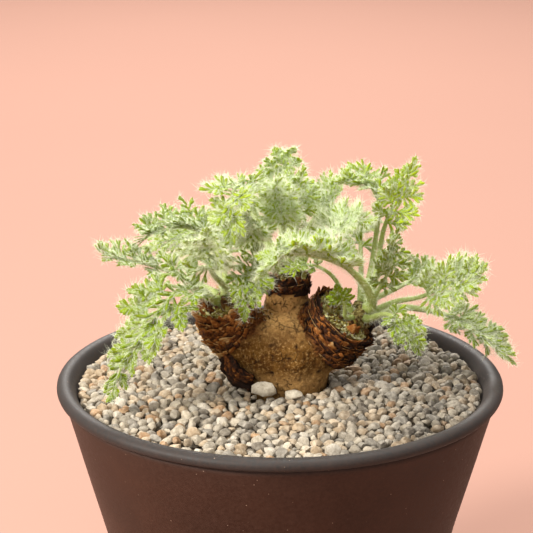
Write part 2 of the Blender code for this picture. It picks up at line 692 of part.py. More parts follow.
class Leaf:
    """The route of one frond and the way its folded blade lies on it."""

    def __init__(self, spec, base):
        self.spec = spec
        self.route = Route([base] + spec["route"])
        self.blade_start = self.route.length - spec["blade"]

    def frame(self, s):
        along = self.route.heading(s)
        up = (self.spec["face"] - along * self.spec["face"].dot(along)).normalized()
        return along, up, up.cross(along)

    def place(self, s, t):
        """The point s along the route and t to its side, on the blade."""
        _, up, side = self.frame(s)
        fold = self.spec["fold"]
        lift = abs(t) * math.sin(fold) - CURL * t * t
        return self.route.spot(s) + side * t * math.cos(fold) + up * lift


def cut_leaflet(start, end, heading, length, wing):
    """One cut leaflet, flat: from its two corners on the midrib out to lobes on both sides."""
    root = (start + end) / 2
    along = Vector((math.cos(heading), math.sin(heading)))
    front = Vector((math.sin(heading), -math.cos(heading)))
    outline = [start, end]
    outline += [root + along * length * a + front * wing * b for a, b in LEAFLET_EDGE]
    outline.append(root + along * length)
    outline += [root + along * length * a - front * wing * b for a, b in reversed(LEAFLET_EDGE)]
    return outline


def blade_layout(spec):
    """The flat outlines of a blade as faces of (s, t) points: the midrib's strip and the leaflets."""
    pairs = spec["pairs"]
    pitch = spec["blade"] / (pairs + 0.25)
    stations = [0.0]
    for k in range(pairs):
        foot = 0.35 * pitch + k * pitch
        stations += [foot, foot + LEAFLET_FOOT]
    stations.append(spec["blade"])

    def half(s):
        return MIDRIB_HALF + (MIDRIB_TIP_HALF - MIDRIB_HALF) * s / spec["blade"]

    faces = []
    for a, b in zip(stations, stations[1:]):
        faces.append([(a, -half(a)), (b, -half(b)), (b, half(b)), (a, half(a))])
    for k in range(pairs):
        a, b = stations[1 + 2 * k], stations[2 + 2 * k]
        share = k / max(pairs - 1, 1)
        heading = math.radians(LEAFLET_LEAN[0] + (LEAFLET_LEAN[1] - LEAFLET_LEAN[0]) * share)
        size, swell, taper = LEAFLET_SIZES
        length = spec["leaflet"] * (size + swell * share + (taper - spec["taper"]) * share * share)
        wing = min(WING * length, 0.49 * pitch * math.sin(heading))
        outline = cut_leaflet(Vector((a, half(a))), Vector((b, half(b))), heading, length, wing)
        faces.append([tuple(p) for p in outline])
        faces.append([(p.x, -p.y) for p in reversed(outline)])
    tip = spec["blade"]
    outline = cut_leaflet(Vector((tip, half(tip))), Vector((tip, -half(tip))), 0.0,
                          (TIP_LENGTH - 0.6 * spec["taper"]) * spec["leaflet"], TIP_WING * spec["leaflet"])
    faces.append([tuple(p) for p in outline])
    return faces


def blade_sheet(leaf):
    """The blade as a triangulated sheet, so that both its faces are split alike."""
    work = bmesh.new()
    corners = {}
    for face in blade_layout(leaf.spec):
        ring_of = []
        for s, t in face:
            key = (round(s, 4), round(t, 4))
            if key not in corners:
                corners[key] = work.verts.new((s, t, 0))
            ring_of.append(corners[key])
        work.faces.new(ring_of)
    work.normal_update()
    bmesh.ops.triangulate(work, faces=work.faces)
    for corner in work.verts:
        s, t = corner.co.x, corner.co.y
        corner.co = leaf.place(leaf.blade_start + s, t) * MM
    mesh = bpy.data.meshes.new("blade")
    work.to_mesh(mesh)
    work.free()
    return mesh


def stalk_mesh(leaf):
    """The petiole, a tapered tube that runs on a little way under the blade."""
    spec = leaf.spec
    count = max(4, round(leaf.blade_start / PETIOLE_STEP))
    stops = [(leaf.blade_start * i / count, spec["stalk"] * (1 - 0.35 * i / count)) for i in range(count + 1)]
    stops.append((leaf.blade_start + min(PETIOLE_OVERLAP, 0.5 * spec["blade"]), 0.4 * spec["stalk"]))
    rings = []
    for s, radius in stops:
        _, up, side = leaf.frame(s)
        spot = leaf.route.spot(s)
        angles = [2 * math.pi * (i + 0.5) / PETIOLE_SIDES for i in range(PETIOLE_SIDES)]
        rings.append([spot + (side * math.cos(a) + up * math.sin(a)) * radius for a in angles])
    return lofted("stalk", rings)


def seat(spec, caudex_surface):
    """Where a stalk starts: just off the bud it springs from, clear of the wood all round."""
    target = BUDS[spec["crown"]][0]
    first = spec["route"][0]
    inward = (target - first).normalized()
    hit, _, _, _ = caudex_surface.ray_cast(first, inward)
    base = hit - inward * GAP
    across = inward.orthogonal().normalized()
    deep = inward.cross(across)
    for _ in range(8):
        nearest = GAP
        for i in range(8):
            angle = math.pi * i / 4
            edge = base + (across * math.cos(angle) + deep * math.sin(angle)) * spec["stalk"]
            _, _, _, distance = caudex_surface.find_nearest(edge)
            nearest = min(nearest, distance)
        base = base - inward * (GAP - nearest)
    return base


def make_frond(name, spec, collection, material, caudex_surface):
    leaf = Leaf(spec, seat(spec, caudex_surface))
    piece = new_object("frond_" + name, blade_sheet(leaf), collection, material)
    shell = piece.modifiers.new("shell", "SOLIDIFY")
    shell.thickness = BLADE_THICKNESS * MM
    shell.offset = 0.0
    stalk = new_object("stalk", stalk_mesh(leaf), collection)
    join = piece.modifiers.new("stalk", "BOOLEAN")
    join.operation = "UNION"
    join.object = stalk
    bake(piece)
    remove(stalk)
    return piece


def main():
    clear_scene()
    parts = new_collection("potted pelargonium")
    cutters = new_collection("cutters")
    stoneware = new_material("stoneware", (0.075, 0.034, 0.022), 0.55)
    pebbles = new_material("pebbles", (0.46, 0.40, 0.33), 0.8)
    soil = new_material("soil", (0.045, 0.030, 0.020), 0.95)
    pumice = new_material("pumice", (0.42, 0.38, 0.32), 0.9)
    bark = new_material("bark", (0.26, 0.135, 0.055), 0.9)
    scale = new_material("dry scale", (0.13, 0.045, 0.018), 0.8)
    leaf = new_material("silky leaf", (0.22, 0.33, 0.09), 0.7)

    make_pot(parts, cutters, stoneware)
    make_drainage(parts, pumice)
    make_mix(parts, soil)
    make_gravel(parts, pebbles)
    caudex = make_caudex(parts, bark)
    surface = surface_of(caudex)
    make_scales("crown_scales_left", LEFT_LIMB, 2.3, 4, 3.4, (0.5, -0.8, 0.1), parts, scale, surface)
    make_scales("crown_scales_middle", MIDDLE_LIMB, 3.1, 4, 2.0, (-0.6, 0.2, 0), parts, scale, surface)
    make_scales("crown_scales_right", RIGHT_LIMB, 2.2, 4, 3.4, (1.0, 0.2, -0.4), parts, scale, surface)
    make_bark_flake(parts, scale, surface)
    for name, spec in FRONDS.items():
        make_frond(name, spec, parts, leaf, surface)


main()
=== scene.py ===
"""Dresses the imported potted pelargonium: silky leaves, bark, scales, pebbles and stoneware.

Lengths are in millimetres until a mesh is made. +Z is up and the camera looks along +Y.
"""

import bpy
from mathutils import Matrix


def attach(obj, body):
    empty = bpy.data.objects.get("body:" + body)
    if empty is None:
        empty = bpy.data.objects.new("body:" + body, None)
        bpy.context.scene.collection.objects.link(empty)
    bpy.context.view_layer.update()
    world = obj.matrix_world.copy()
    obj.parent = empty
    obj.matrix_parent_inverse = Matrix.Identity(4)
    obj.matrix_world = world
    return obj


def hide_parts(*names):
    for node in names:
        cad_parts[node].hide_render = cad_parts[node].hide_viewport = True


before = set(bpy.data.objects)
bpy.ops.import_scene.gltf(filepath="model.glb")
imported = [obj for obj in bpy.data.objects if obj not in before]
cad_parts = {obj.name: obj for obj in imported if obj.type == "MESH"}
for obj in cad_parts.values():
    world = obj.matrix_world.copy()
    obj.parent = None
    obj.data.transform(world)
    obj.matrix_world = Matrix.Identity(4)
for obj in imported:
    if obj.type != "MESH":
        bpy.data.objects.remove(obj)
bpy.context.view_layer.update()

import math
import random

import bmesh
import bpy
import numpy as np
from mathutils import Matrix, Vector, noise
from mathutils.bvhtree import BVHTree

MM = 0.001
GAP = 0.35

# The photograph's camera
CAMERA_PLACE = (-3.6, -469.4, 267.4)
CAMERA_PITCH = 17.29
FOCAL_PIXELS = 1854.0
IMAGE_PIXELS = 533.0
SENSOR = 36.0

# Light. Lamps: place and size in metres, power and colour.
WORLD_COLOUR = (1.0, 0.90, 0.84, 1.0)
WORLD_STRENGTH = 0.52
LAMP_TARGET = Vector((0, 0, 0.1))
LAMPS = (
    ("key", (-0.73, -0.46, 0.63), 0.24, 16.0, (1.0, 0.965, 0.91)),
    ("fill", (-0.2, -1.1, 0.9), 0.9, 6.0, (1.0, 0.97, 0.94)),
    ("top", (0.15, 0.1, 1.2), 0.5, 12.0, (1.0, 0.98, 0.95)),
    ("rim", (-0.1, 1.2, 1.0), 0.6, 22.0, (1.0, 0.97, 0.93)),
)

# Pot
RIM_RADIUS = 60.0
POT_HEIGHT = 91.0
LIP_WIDE = 2.15
LIP_TALL = 1.75
GROOVE = 0.4
BODY_TOP_RADIUS = 58.2
BODY_TOP = 87.3
WALL_SLOPE = 0.27
WALL = 3.6
FLOOR = 5.0
POT_SIDES = 128
DRAIN_RADIUS = 4.0
DRAIN_RING = 17.0
DRAIN_HOLES = 3
DRAIN_TURN = 0.25

# Gravel
MIX_TOP = 84.0
GRAVEL_TOP = 88.2
GRAVEL_MOUND = 1.0
MOUND_REACH = 27.0
GRAVEL_RADIUS = 54.5
BED_RADII = (54.0, 53.5)       # the bed's outer edge above and below
TRUNK_FOOT = (2.4, -0.2)       # the middle of the hole that the trunk stands in
TRUNK_HALF = (10.9, 11.7)      # and its half widths
RIGHT_STONES_PAINTED_SHADE = 0.55     # the stones on the right are darker, up to this share: painted shade of the fronds over them
PALE_STONES = (                # place, half axes, yaw and colour of the two at the trunk's foot
    ((-4.1, -13.4, 91.7), (3.7, 2.0, 1.9), 0.12, (0.45, 0.40, 0.31)),
    ((3.2, -14.2, 90.4), (2.6, 1.6, 1.25), -0.1, (0.45, 0.40, 0.31)),
)
# Layers: name, count, mean radius, its spread and limits, rounds of settling, depth of the centres under the
# gravel's top and its spread, seed, and the stones that are placed one by one
PEBBLE_LAYERS = (
    ("pebbles_top", 1240, 1.52, 0.34, (0.95, 2.4), 70, 0.35, 0.22, 42, PALE_STONES),
    ("pebbles_low", 700, 1.55, 0.2, (1.1, 1.9), 30, 1.75, 0.15, 44, ()),
)
HIDDEN = (                     # what fills the pot below: node, material, dark, light and grain in mm
    ("potting_mix", "potting mix", (0.03, 0.018, 0.01), (0.10, 0.065, 0.04), 2.0),
    ("drainage_layer", "drainage stones", (0.16, 0.14, 0.12), (0.5, 0.46, 0.40), 4.0),
)

# Caudex
LEFT_LIMB = [
    (-4.6, 0.8, 98.8, 6.4, 6.8), (-9.2, -0.6, 101.5, 7.4, 7.8), (-12.6, -1.7, 104.5, 8.1, 8.0),
    (-14.2, -2.3, 107.5, 8.0, 7.6), (-15.2, -2.7, 110.6, 7.3, 7.0), (-15.2, -2.7, 110.4, 5.6, 5.4),
    (-14.8, -2.5, 109.2, 3.8, 3.6),
]
MIDDLE_LIMB = [
    (2.0, 2.6, 97.0, 10.5, 8.6), (1.9, 3.1, 103.5, 8.4, 7.2), (1.8, 3.8, 109.0, 6.2, 6.1),
    (1.9, 4.2, 113.0, 5.6, 5.8), (2.0, 4.5, 116.2, 5.5, 5.8), (2.0, 4.5, 116.0, 4.6, 4.6),
]
RIGHT_LIMB = [
    (6.5, 1.0, 97.0, 7.4, 7.0), (10.2, 0.2, 99.9, 9.1, 8.6), (13.4, -0.9, 103.2, 9.4, 9.0),
    (15.2, -1.6, 105.5, 9.2, 8.9), (16.6, -2.1, 107.4, 8.8, 8.6), (16.5, -2.1, 107.2, 7.2, 7.0),
    (15.9, -1.9, 106.3, 5.0, 4.8),
]
RIM_STATION = 4                # a head's rim in the lists above
BUDS = {"left": Vector((-14.4, -1.6, 111.2)), "middle": Vector((1.9, 4.6, 117.6)),
        "right": Vector((20.9, -1.0, 106.9))}
WOOLLY_BUD = Vector((-4.6, -1.2, 106.4))
WOOLLY_RADIUS = 2.8
BARK_FOOT = 80.0               # the bark below this height is buried and stays plain
CAUDEX_VOXEL = 0.45

# Collars of dry scales. spread, lean, slope, torn and crumple shape a scale, and bark is how far down and
# out the peeling bark goes. Tiers, from the lowest up: station along the limb, number of scales, height,
# lift and, where they don't stand all round, the angles between which they stand, in degrees.
COLLARS = {
    "left": dict(
        stations=LEFT_LIMB, seed=3, spread=(18, 42), lean=(0.0, 0.4), slope=0.6, torn=1.3, crumple=1.0,
        fibres=45, crumbs=260, tone=0.15, bark=(8.5, 1.35),
        tiers=[(1.9, 11, 1.5, -0.35), (2.2, 12, 1.6, -0.3), (2.5, 12, 1.6, -0.2), (2.8, 13, 1.7, -0.15),
               (3.1, 13, 1.7, -0.05), (3.4, 13, 1.7, 0.0), (3.7, 12, 1.8, 0.0), (4.0, 12, 2.2, 0.0),
               (4.0, 9, 3.4, -0.4, 110, 230)]),
    "middle": dict(
        stations=MIDDLE_LIMB, seed=5, spread=(30, 60), lean=(-0.1, 0.25), slope=0.3, torn=1.1, crumple=0.5,
        fibres=12, crumbs=110, tone=-0.42, bark=(3.4, 1.45),
        tiers=[(3.1, 9, 1.2, -0.1), (3.3, 9, 1.2, -0.05), (3.5, 9, 1.3, 0.0), (3.7, 9, 1.3, 0.0),
               (3.85, 9, 1.4, 0.0), (4.0, 9, 1.6, 0.0)]),
    "right": dict(
        stations=RIGHT_LIMB, seed=8, spread=(35, 85), lean=(0.0, 0.4), slope=0.7, torn=1.0, crumple=0.75,
        fibres=130, crumbs=260, tone=-0.27, bark=(8.0, 1.18),
        tiers=[(1.35, 6, 1.7, 0.4, -75, 30), (1.6, 7, 1.6, 0.3, -80, 30), (1.9, 9, 1.2, -0.25),
               (2.1, 9, 1.2, -0.2), (2.3, 9, 1.3, -0.15), (2.5, 10, 1.3, -0.1), (2.7, 10, 1.3, -0.05),
               (2.9, 10, 1.3, 0.0), (3.1, 10, 1.3, 0.0), (3.3, 10, 1.4, 0.05), (3.5, 10, 1.4, 0.1),
               (3.75, 10, 1.5, 0.1), (4.0, 10, 1.6, 0.1)]),
}

# What fills the heads. Scales: share of the way to the rim, angle, half width, height, way faced, tone.
CROWNS = {
    "left": dict(
        stations=LEFT_LIMB, seed=31, top=1.6, edge=0.2, grains=560, stubs=16, tone=0.32,
        scales=[(0.45, 3.6, 1.5, 3.6, (0.3, -1, 0.3), 0.20), (0.75, 2.9, 1.4, 3.2, (-0.4, -1, 0.2), 0.42),
                (0.6, 4.1, 1.2, 2.6, (0.0, -1, 0.3), 0.25), (0.85, 3.4, 1.3, 3.0, (-0.8, -0.6, 0.2), 0.45)]),
    "middle": dict(
        stations=MIDDLE_LIMB, seed=32, top=1.2, edge=0.2, grains=150, stubs=8, tone=0.15, scales=[]),
    "right": dict(
        stations=RIGHT_LIMB, seed=33, top=1.0, edge=0.3, grains=800, stubs=16, tone=0.5,
        scales=[(0.76, 4.95, 1.9, 3.2, (0.2, -0.9, 0.5), 0.60), (0.68, 5.35, 1.4, 2.6, (0.5, -0.8, 0.4), 0.45)]),
}
FLAKE_ROUTE = [(-15.2, -5.6, 100.8), (-14.4, -6.6, 98.9), (-13.3, -7.4, 96.8), (-12.3, -8.2, 94.8),
               (-10.2, -9.2, 93.5), (-7.0, -10.0, 93.2)]
FLAKE_OUT = Vector((-0.6, -0.75, 0.3))
FLAKE_SHADOW_SHEET = (Vector((0.0, 0.9, 0.0)), Vector((4.6, 2.6, 0.8)))      # the dark sheet behind, painted shadow of the gap to the trunk, edge to edge
# Layers: half width, sideways swing and thickness
FLAKE_LAYERS = ((1.5, 1.6, 0.3), (1.1, 0.3, 0.3), (0.8, -0.7, 0.24), (0.6, 0.8, 0.22), (0.4, -0.2, 0.2))

# Fronds
CURL = 0.012                             # how fast a blade bends down towards its sides
LEAFLET_LEAN = (64.0, 44.0)              # degrees between leaflet and midrib at a blade's foot and tip
LEAFLET_SIZES = (0.86, 0.42, -0.56)      # size at a blade's foot, swell and taper along it
TIP_LENGTH = 0.66                        # the end leaflet, as a share of the others

# How a frond looks: grey to green, dull to yellow-green, its hairs, how wide its lobes are, how they cup,
# and how many real leaflets stand for one of the solid's.
LOOK = {"grey": 0.3, "bright": 0.4, "fluff": 1.0, "width": 0.58, "cup": 0.22, "rate": 1.1}


def frond(crown, route, blade, pairs, leaflet, face, fold=15.0, stalk=0.9, taper=0.0, look=()):
    """One leaf: where it springs from, the way its stalk and midrib go, its cut blade and its look."""
    return dict(LOOK, crown=crown, route=[Vector(p) for p in route], blade=blade, pairs=pairs, leaflet=leaflet,
                face=Vector(face), fold=math.radians(fold), stalk=stalk, taper=taper, **dict(zip(LOOK, look)))


FRONDS = {
    # Left head
    "far_left": frond("left", [(-18, 0.5, 114.4), (-23.5, 3.5, 116.2), (-30.5, 4, 119), (-37.5, 3, 121.5),
        (-46, 1, 124)], 15, 4, 7.4, (0.1, -0.3, 1), 10, look=(0.35, 0.45, 0.8, 0.42, 0.15, 1.3)),
    "left_arch": frond("left", [(-14.6, 0.4, 118.2), (-16, 4.5, 124), (-20, 7.5, 128), (-25, 8.5, 129.6),
        (-30, 8, 129.5), (-34.5, 7, 128.2)], 16, 4, 9.0, (-0.1, -0.35, 1), 42,
        look=(0.12, 0.28, 0.8, 0.44, 0.2, 1.3)),
    # left_fluffy's yellow-green is raised as painted light against the shade in its hairy core.
    "left_fluffy": frond("left", [(-14.8, -4.2, 117.2), (-17.2, -10, 122), (-18.5, -14.5, 126.5),
        (-18.2, -17, 132.6)], 9.5, 3, 9.2, (0, -1, 0.35), 15, look=(0.05, 0.7, 1.4, 0.56, 0.45, 1.2)),
    "left_low": frond("left", [(-18.2, -6, 114.5), (-21.5, -11.5, 119), (-25.2, -16, 120.4),
        (-29.5, -19.5, 117.6), (-34, -21.8, 112), (-38.2, -22.8, 106), (-41.2, -23.5, 100.4),
        (-42.8, -23.8, 97)], 35.5, 5, 12.2, (-0.3, -0.8, 0.5), 15, 1.1, 0.36,
        look=(0.06, 0.36, 0.9, 0.54, 0.25, 1.25)),
    "back_left": frond("left", [(-15.2, 3.8, 113.6), (-18, 11, 119.5), (-22.5, 18, 121.5), (-26.5, 25, 119.5),
        (-28.5, 30, 114.5)], 16, 4, 8.5, (-0.2, 0.3, 0.95), look=(0.3, 0.5, 0.9, 0.44)),
    # Middle head
    "left_back": frond("middle", [(-3.6, 6.2, 119.8), (-9, 12, 123.5), (-15, 17, 125.5), (-22.5, 19, 125),
        (-30, 19, 123.5), (-34, 18, 121.5)], 31, 8, 7.4, (0, -0.5, 1), 10,
        look=(0.3, 0.6, 0.9, 0.42, 0.2, 1.3)),
    # left_hang's dull green is painted shade from the fronds above it.
    "left_hang": frond("middle", [(-1.3, 0, 120.8), (-4.6, -5, 123.4), (-7.2, -10, 123.4), (-8.9, -13.6, 120),
        (-9.3, -15.3, 114.8)], 17.0, 6, 7.6, (0, -1, 0.2), 12, 0.9, 0.30,
        look=(0.08, 0.30, 0.75, 0.46, 0.3, 1.2)),
    "top_left": frond("middle", [(-1.1, 3.4, 123.6), (-4.5, 3, 131), (-8, 2, 138.5), (-10.5, -2.5, 144),
        (-12, -8, 144.6), (-12.8, -12.5, 141.2), (-13, -14.5, 137.5)], 18, 4, 9.8, (-0.2, -0.5, 0.85), 12,
        look=(0.12, 0.70, 1.0, 0.52, 0.3, 1.3)),
    "centre_left": frond("middle", [(-3.4, 3.2, 121), (-6.3, -3, 128), (-7.8, -8.2, 132.5),
        (-8.2, -10.5, 137)], 9, 3, 7.6, (-0.1, -1, 0.3), 15, 0.75, look=(0.15, 0.9, 1.1, 0.43, 0.3, 1.6)),
    "top_spire": frond("middle", [(1.5, 8, 123.6), (0, 10.8, 130.5), (-0.8, 12, 137), (-0.3, 12, 142.5),
        (2, 11, 148)], 16, 4, 8.4, (0, -0.95, 0.3), look=(0.05, 1.0, 1.2, 0.50, 0.3, 1.3)),
    # centre_fan and centre_right have their yellow-green raised: painted light on their shaded lower leaflets.
    "centre_fan": frond("middle", [(2.2, 1.4, 123.6), (1, -0.8, 131), (0, -2, 138), (-0.5, -2.5, 144)], 11.5,
        3, 7.0, (0, -0.8, 0.6), look=(0.0, 1.3, 1.5, 0.43, 0.45, 1.5)),
    "centre_right": frond("middle", [(2.7, 5.1, 124.1), (4.5, 5.5, 131), (5.2, 5, 138), (5.8, 5.5, 143)], 9,
        3, 6.6, (0, -1, 0.3), look=(0.2, 1.15, 1.1, 0.43, 0.3, 1.5)),
    "right_fluffy": frond("middle", [(6.4, 4.2, 122.1), (9.8, 3.8, 126.5), (13.5, 1.5, 131),
        (17.2, -1.5, 134), (20.3, -3.6, 135)], 13, 4, 7.6, (-0.3, -0.6, 0.75),
        look=(0.4, 0.75, 1.4, 0.42, 0.3, 1.5)),
    # mid_right's yellow-green is raised the same way: painted light on its shaded side.
    "mid_right": frond("middle", [(4.9, 8, 122.6), (8, 11.5, 129), (11.5, 12.5, 135), (15, 13, 139.5)], 10, 3,
        7.4, (-0.4, -0.8, 0.4), look=(0.25, 1.0, 1.1, 0.43, 0.3, 1.5)),
    "back_middle": frond("middle", [(1.6, 10.2, 120), (2.6, 18, 126), (4, 25, 126.5), (5, 30.5, 122.5),
        (5.5, 33.5, 117.5)], 17, 4, 9.0, (0, 0.4, 0.9), look=(0.3, 0.5, 0.9, 0.44)),
    "back_top": frond("middle", [(-2.1, 7.2, 122.4), (-6, 13, 129.5), (-10, 19, 132.5), (-13.5, 24.5, 131)],
        12, 3, 8.0, (-0.2, 0.1, 1), look=(0.3, 0.6, 1.0, 0.44)),
    # Right head
    "front_arch": frond("right", [(24.4, -3.6, 112.6), (22.8, -6.6, 117.4), (20.0, -9.4, 121.6),
        (16.6, -12, 125.2), (12.6, -14.3, 127.6), (7.5, -16.8, 129.6), (2.8, -19.6, 130.8),
        (-0.4, -22.0, 130.4), (-2.4, -23.6, 128.8)], 26.5, 7, 8.6, (0, -0.42, 0.95), 46, 1.4,
        look=(0.0, 0.9, 1.3, 0.56, 0.55, 1.15)),
    "under_arch": frond("right", [(17.8, -3.4, 111.6), (14.5, -6, 119.5), (10.5, -8.5, 123.6),
        (6.5, -10, 125), (2.5, -11.5, 124.3)], 8, 3, 4.6, (0, -0.7, 0.7), 12, 0.7,
        look=(0.10, 0.35, 0.7, 0.42)),
    "right_top_left": frond("right", [(23.2, 1.6, 115), (24.8, 6, 121), (26, 10, 128), (26.6, 10.5, 135),
        (25.2, 9, 139.8), (22, 8, 142), (18.5, 7, 142.2)], 12, 4, 8.0, (-0.1, -0.35, 1), 45,
        look=(0.12, 0.8, 0.8, 0.46, 0.25, 1.2)),
    "right_top": frond("right", [(24.5, -1.2, 114.5), (26, 1.5, 122), (27.2, 2, 130), (29.2, 2, 136),
        (32, 2, 141), (33.8, 2, 145.5)], 14.5, 4, 7.8, (0, -1, 0.3), look=(0.1, 1.1, 0.8, 0.45, 0.25, 1.0)),
    "right_upright": frond("right", [(24, -4, 112.6), (26.5, -5, 117.5), (28.6, -5.5, 122.5),
        (30.0, -5.5, 129.2)], 13.5, 4, 6.8, (0.2, -1, 0.2), look=(0.15, 0.4, 0.8, 0.46, 0.2, 1.1)),
    "right_out": frond("right", [(26.4, -2.2, 110.4), (31, -3, 112.6), (36.5, -3.5, 113.8), (41.5, -4, 116),
        (46.5, -5, 119), (50.5, -5, 120.8)], 14, 4, 8.4, (-0.2, -0.85, 0.5),
        look=(0.4, 0.75, 1.1, 0.44, 0.25, 1.4)),
    "right_behind": frond("right", [(24.6, 3.4, 110.6), (31, 7.5, 112.5), (36.5, 10.5, 114.5),
        (39.5, 12.5, 115.6), (42, 13.5, 116)], 9, 3, 6.8, (0, -0.5, 0.85),
        look=(0.45, 0.6, 0.9, 0.44, 0.2, 1.3)),
    "right_low": frond("right", [(26.6, 0.6, 107.6), (32, 3.5, 108.6), (37.5, 5.5, 107.6), (43, 6, 106.3),
        (48.5, 6, 104.6), (53.5, 5, 101.8), (57, 4, 99), (59.5, 3.2, 96.6)], 18, 5, 8.2, (0.4, -0.5, 0.8), 12,
        1.1, look=(0.4, 0.5, 1.0, 0.44, 0.2, 1.3)),
    "right_droop": frond("right", [(23.6, -5.2, 108.6), (27.5, -9, 111), (31, -12, 110.4), (34, -13.5, 107.6),
        (35, -14, 104.8)], 10.5, 4, 5.9, (0.2, -1, 0.2), look=(0.2, 0.38, 0.75, 0.44, 0.2, 1.2)),
    "right_young": frond("right", [(17.2, -6.5, 109.5), (16.8, -9, 113.5), (15.2, -10.5, 118)], 5, 2, 4.4,
        (0, -1, 0.2), 12, 0.7, look=(0.1, 0.5, 0.3, 0.50, 0.1, 1.5)),
    "back_right": frond("right", [(21.6, 4.4, 110.4), (22, 10.5, 118), (22, 16, 123.5), (22, 22.5, 125.5),
        (22.5, 28.5, 122.5)], 16, 4, 8.8, (0, 0.1, 1), look=(0.3, 0.5, 0.9, 0.44)),
}


# Lobes: a little closed blade with raised edges and a keel
LOBE_STATIONS = np.array([0.0, 0.26, 0.58, 0.85, 1.0])
LOBE_HALF = np.array([0.55, 0.80, 1.0, 0.90, 0.32])
FAN_OPENING = 0.95            # the outer fingers' angle to a fan's axis, in radians
LONG_LEAFLET = 8.2            # from this length a leaflet carries three hands of fingers
FORKED_FINGER = 2.3           # from this length a finger forks
CREST_PER_MM = 1.1
LOBE_DROOP = 0.06
LOBE_BEND = 0.14
EDGE_RISE = 0.16
KEEL = 0.28
RIB_PALENESS = 0.3            # a leaflet's rib has the pale edge colour up to this share
STALK_SIDES = 10
LEAF, STALK, HAIR = 0, 1, 2   # a frond's materials
HAIRS_PER_MM = 19
STALK_HAIRS_PER_MM = 45
HAIR_WIDTH = 0.042
LONG_HAIR_WIDTH = 0.070


def seed_of(word):
    return random.Random(word).getrandbits(31)


def lerp(a, b, share):
    return a + (b - a) * share


def clamp(value):
    return min(1.0, max(0.0, value))


def unit(rows):
    return rows / np.maximum(np.linalg.norm(rows, axis=-1, keepdims=True), 1e-9)


def circle(sides):
    """Cosines and sines of even steps round a circle."""
    steps = (2 * math.pi * k / sides for k in range(sides))
    return [(math.cos(angle), math.sin(angle)) for angle in steps]


def sides_of(way):
    """Two directions square to a way and to each other."""
    way = way.normalized()
    side = way.orthogonal().normalized()
    return side, way.cross(side)


def scatter(draw, size):
    return Vector((draw.gauss(0, size), draw.gauss(0, size), draw.gauss(0, size)))


def ripple(*place):
    return noise.noise(Vector(place))


# Meshes

def triangle_mesh(name, points, triangles):
    """A mesh from arrays: points in millimetres and triples of indices."""
    mesh = bpy.data.meshes.new(name)
    mesh.vertices.add(len(points))
    mesh.vertices.foreach_set("co", (np.asarray(points, dtype=np.float32) * MM).ravel())
    mesh.loops.add(3 * len(triangles))
    mesh.loops.foreach_set("vertex_index", np.asarray(triangles, dtype=np.int32).ravel())
    mesh.polygons.add(len(triangles))
    mesh.polygons.foreach_set("loop_start", np.arange(0, 3 * len(triangles), 3, dtype=np.int32))
    mesh.update(calc_edges=True)
    return mesh


def set_attribute(mesh, name, values):
    values = np.asarray(values, dtype=np.float32)
    if values.ndim == 1:
        mesh.attributes.new(name, "FLOAT", "POINT").data.foreach_set("value", values)
    else:
        rgba = np.concatenate([values, np.ones((len(values), 1), dtype=np.float32)], axis=1)
        mesh.attributes.new(name, "FLOAT_COLOR", "POINT").data.foreach_set("color", rgba.ravel())


def new_object(name, data):
    made = bpy.data.objects.new(name, data)
    bpy.context.scene.collection.objects.link(made)
    return made


def mesh_of(name, work):
    mesh = bpy.data.meshes.new(name)
    work.to_mesh(mesh)
    work.free()
    return mesh


def soften(mesh):
    mesh.polygons.foreach_set("use_smooth", np.ones(len(mesh.polygons), dtype=bool))


def new_piece(name, mesh, materials, slot, *nodes):
    """A piece of the dressed model, riding on the part's one body."""
    piece = new_object(name, mesh)
    for material in materials:
        mesh.materials.append(material)
    soften(mesh)
    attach(piece, "root")
    if nodes:
        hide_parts(*nodes)
    return piece


def applied(piece):
    """Puts an object's modified mesh in it and drops its modifiers."""
    depsgraph = bpy.context.evaluated_depsgraph_get()
    mesh = bpy.data.meshes.new_from_object(piece.evaluated_get(depsgraph), depsgraph=depsgraph)
    piece.modifiers.clear()
    piece.data = mesh
    soften(mesh)
    return mesh


def ball(subdivisions):
    """The points and triangles of a many-sided ball."""
    work = bmesh.new()
    bmesh.ops.create_icosphere(work, subdivisions=subdivisions, radius=1.0)
    points = np.array([v.co[:] for v in work.verts])
    triangles = np.array([[v.index for v in f.verts] for f in work.faces])
    work.free()
    return points, triangles


def copies(triangles, count, points):
    """The triangles of a count of like shapes with so many points each."""
    return (np.asarray(triangles)[None] + points * np.arange(count)[:, None, None]).reshape(-1, 3)


def tube_faces(rings, sides, flip=False, caps=2):
    """The triangles of a tube of rings of points. caps closes none, the first or both of its ends."""
    faces = []
    for i in range(rings - 1):
        for k in range(sides):
            a, b = i * sides + k, i * sides + (k + 1) % sides
            faces += [(a, b, b + sides), (a, b + sides, a + sides)]
    last = (rings - 1) * sides
    for k in range(1, sides - 1):
        faces += [(0, k + 1, k), (last, last + k, last + k + 1)][:caps]
    return np.array(faces)[:, ::-1] if flip else np.array(faces)


class Heap:
    """Collects triangles of several shapes, with the number of their material and numbers for each point."""

    def __init__(self):
        self.points, self.triangles, self.kinds, self.values = [], [], [], []
        self.count = 0

    def add(self, points, triangles, kind=0, **values):
        points = np.asarray(points).reshape(-1, 3)
        self.points.append(points)
        self.triangles.append(np.asarray(triangles).reshape(-1, 3) + self.count)
        self.kinds.append(np.full(len(self.triangles[-1]), kind, dtype=np.int32))
        self.values.append((len(points), values))
        self.count += len(points)

    def piece(self, name, materials, slot, *nodes):
        """One piece of all that the heap holds."""
        mesh = triangle_mesh(name, np.concatenate(self.points), np.concatenate(self.triangles))
        mesh.polygons.foreach_set("material_index", np.concatenate(self.kinds))
        for key in dict.fromkeys(key for _, values in self.values for key in values):
            rows = [np.broadcast_to(np.asarray(values.get(key, 0.0), dtype=float), (count,))
                    for count, values in self.values]
            set_attribute(mesh, key, np.concatenate(rows))
        return new_piece(name, mesh, materials, slot, *nodes)


# Materials

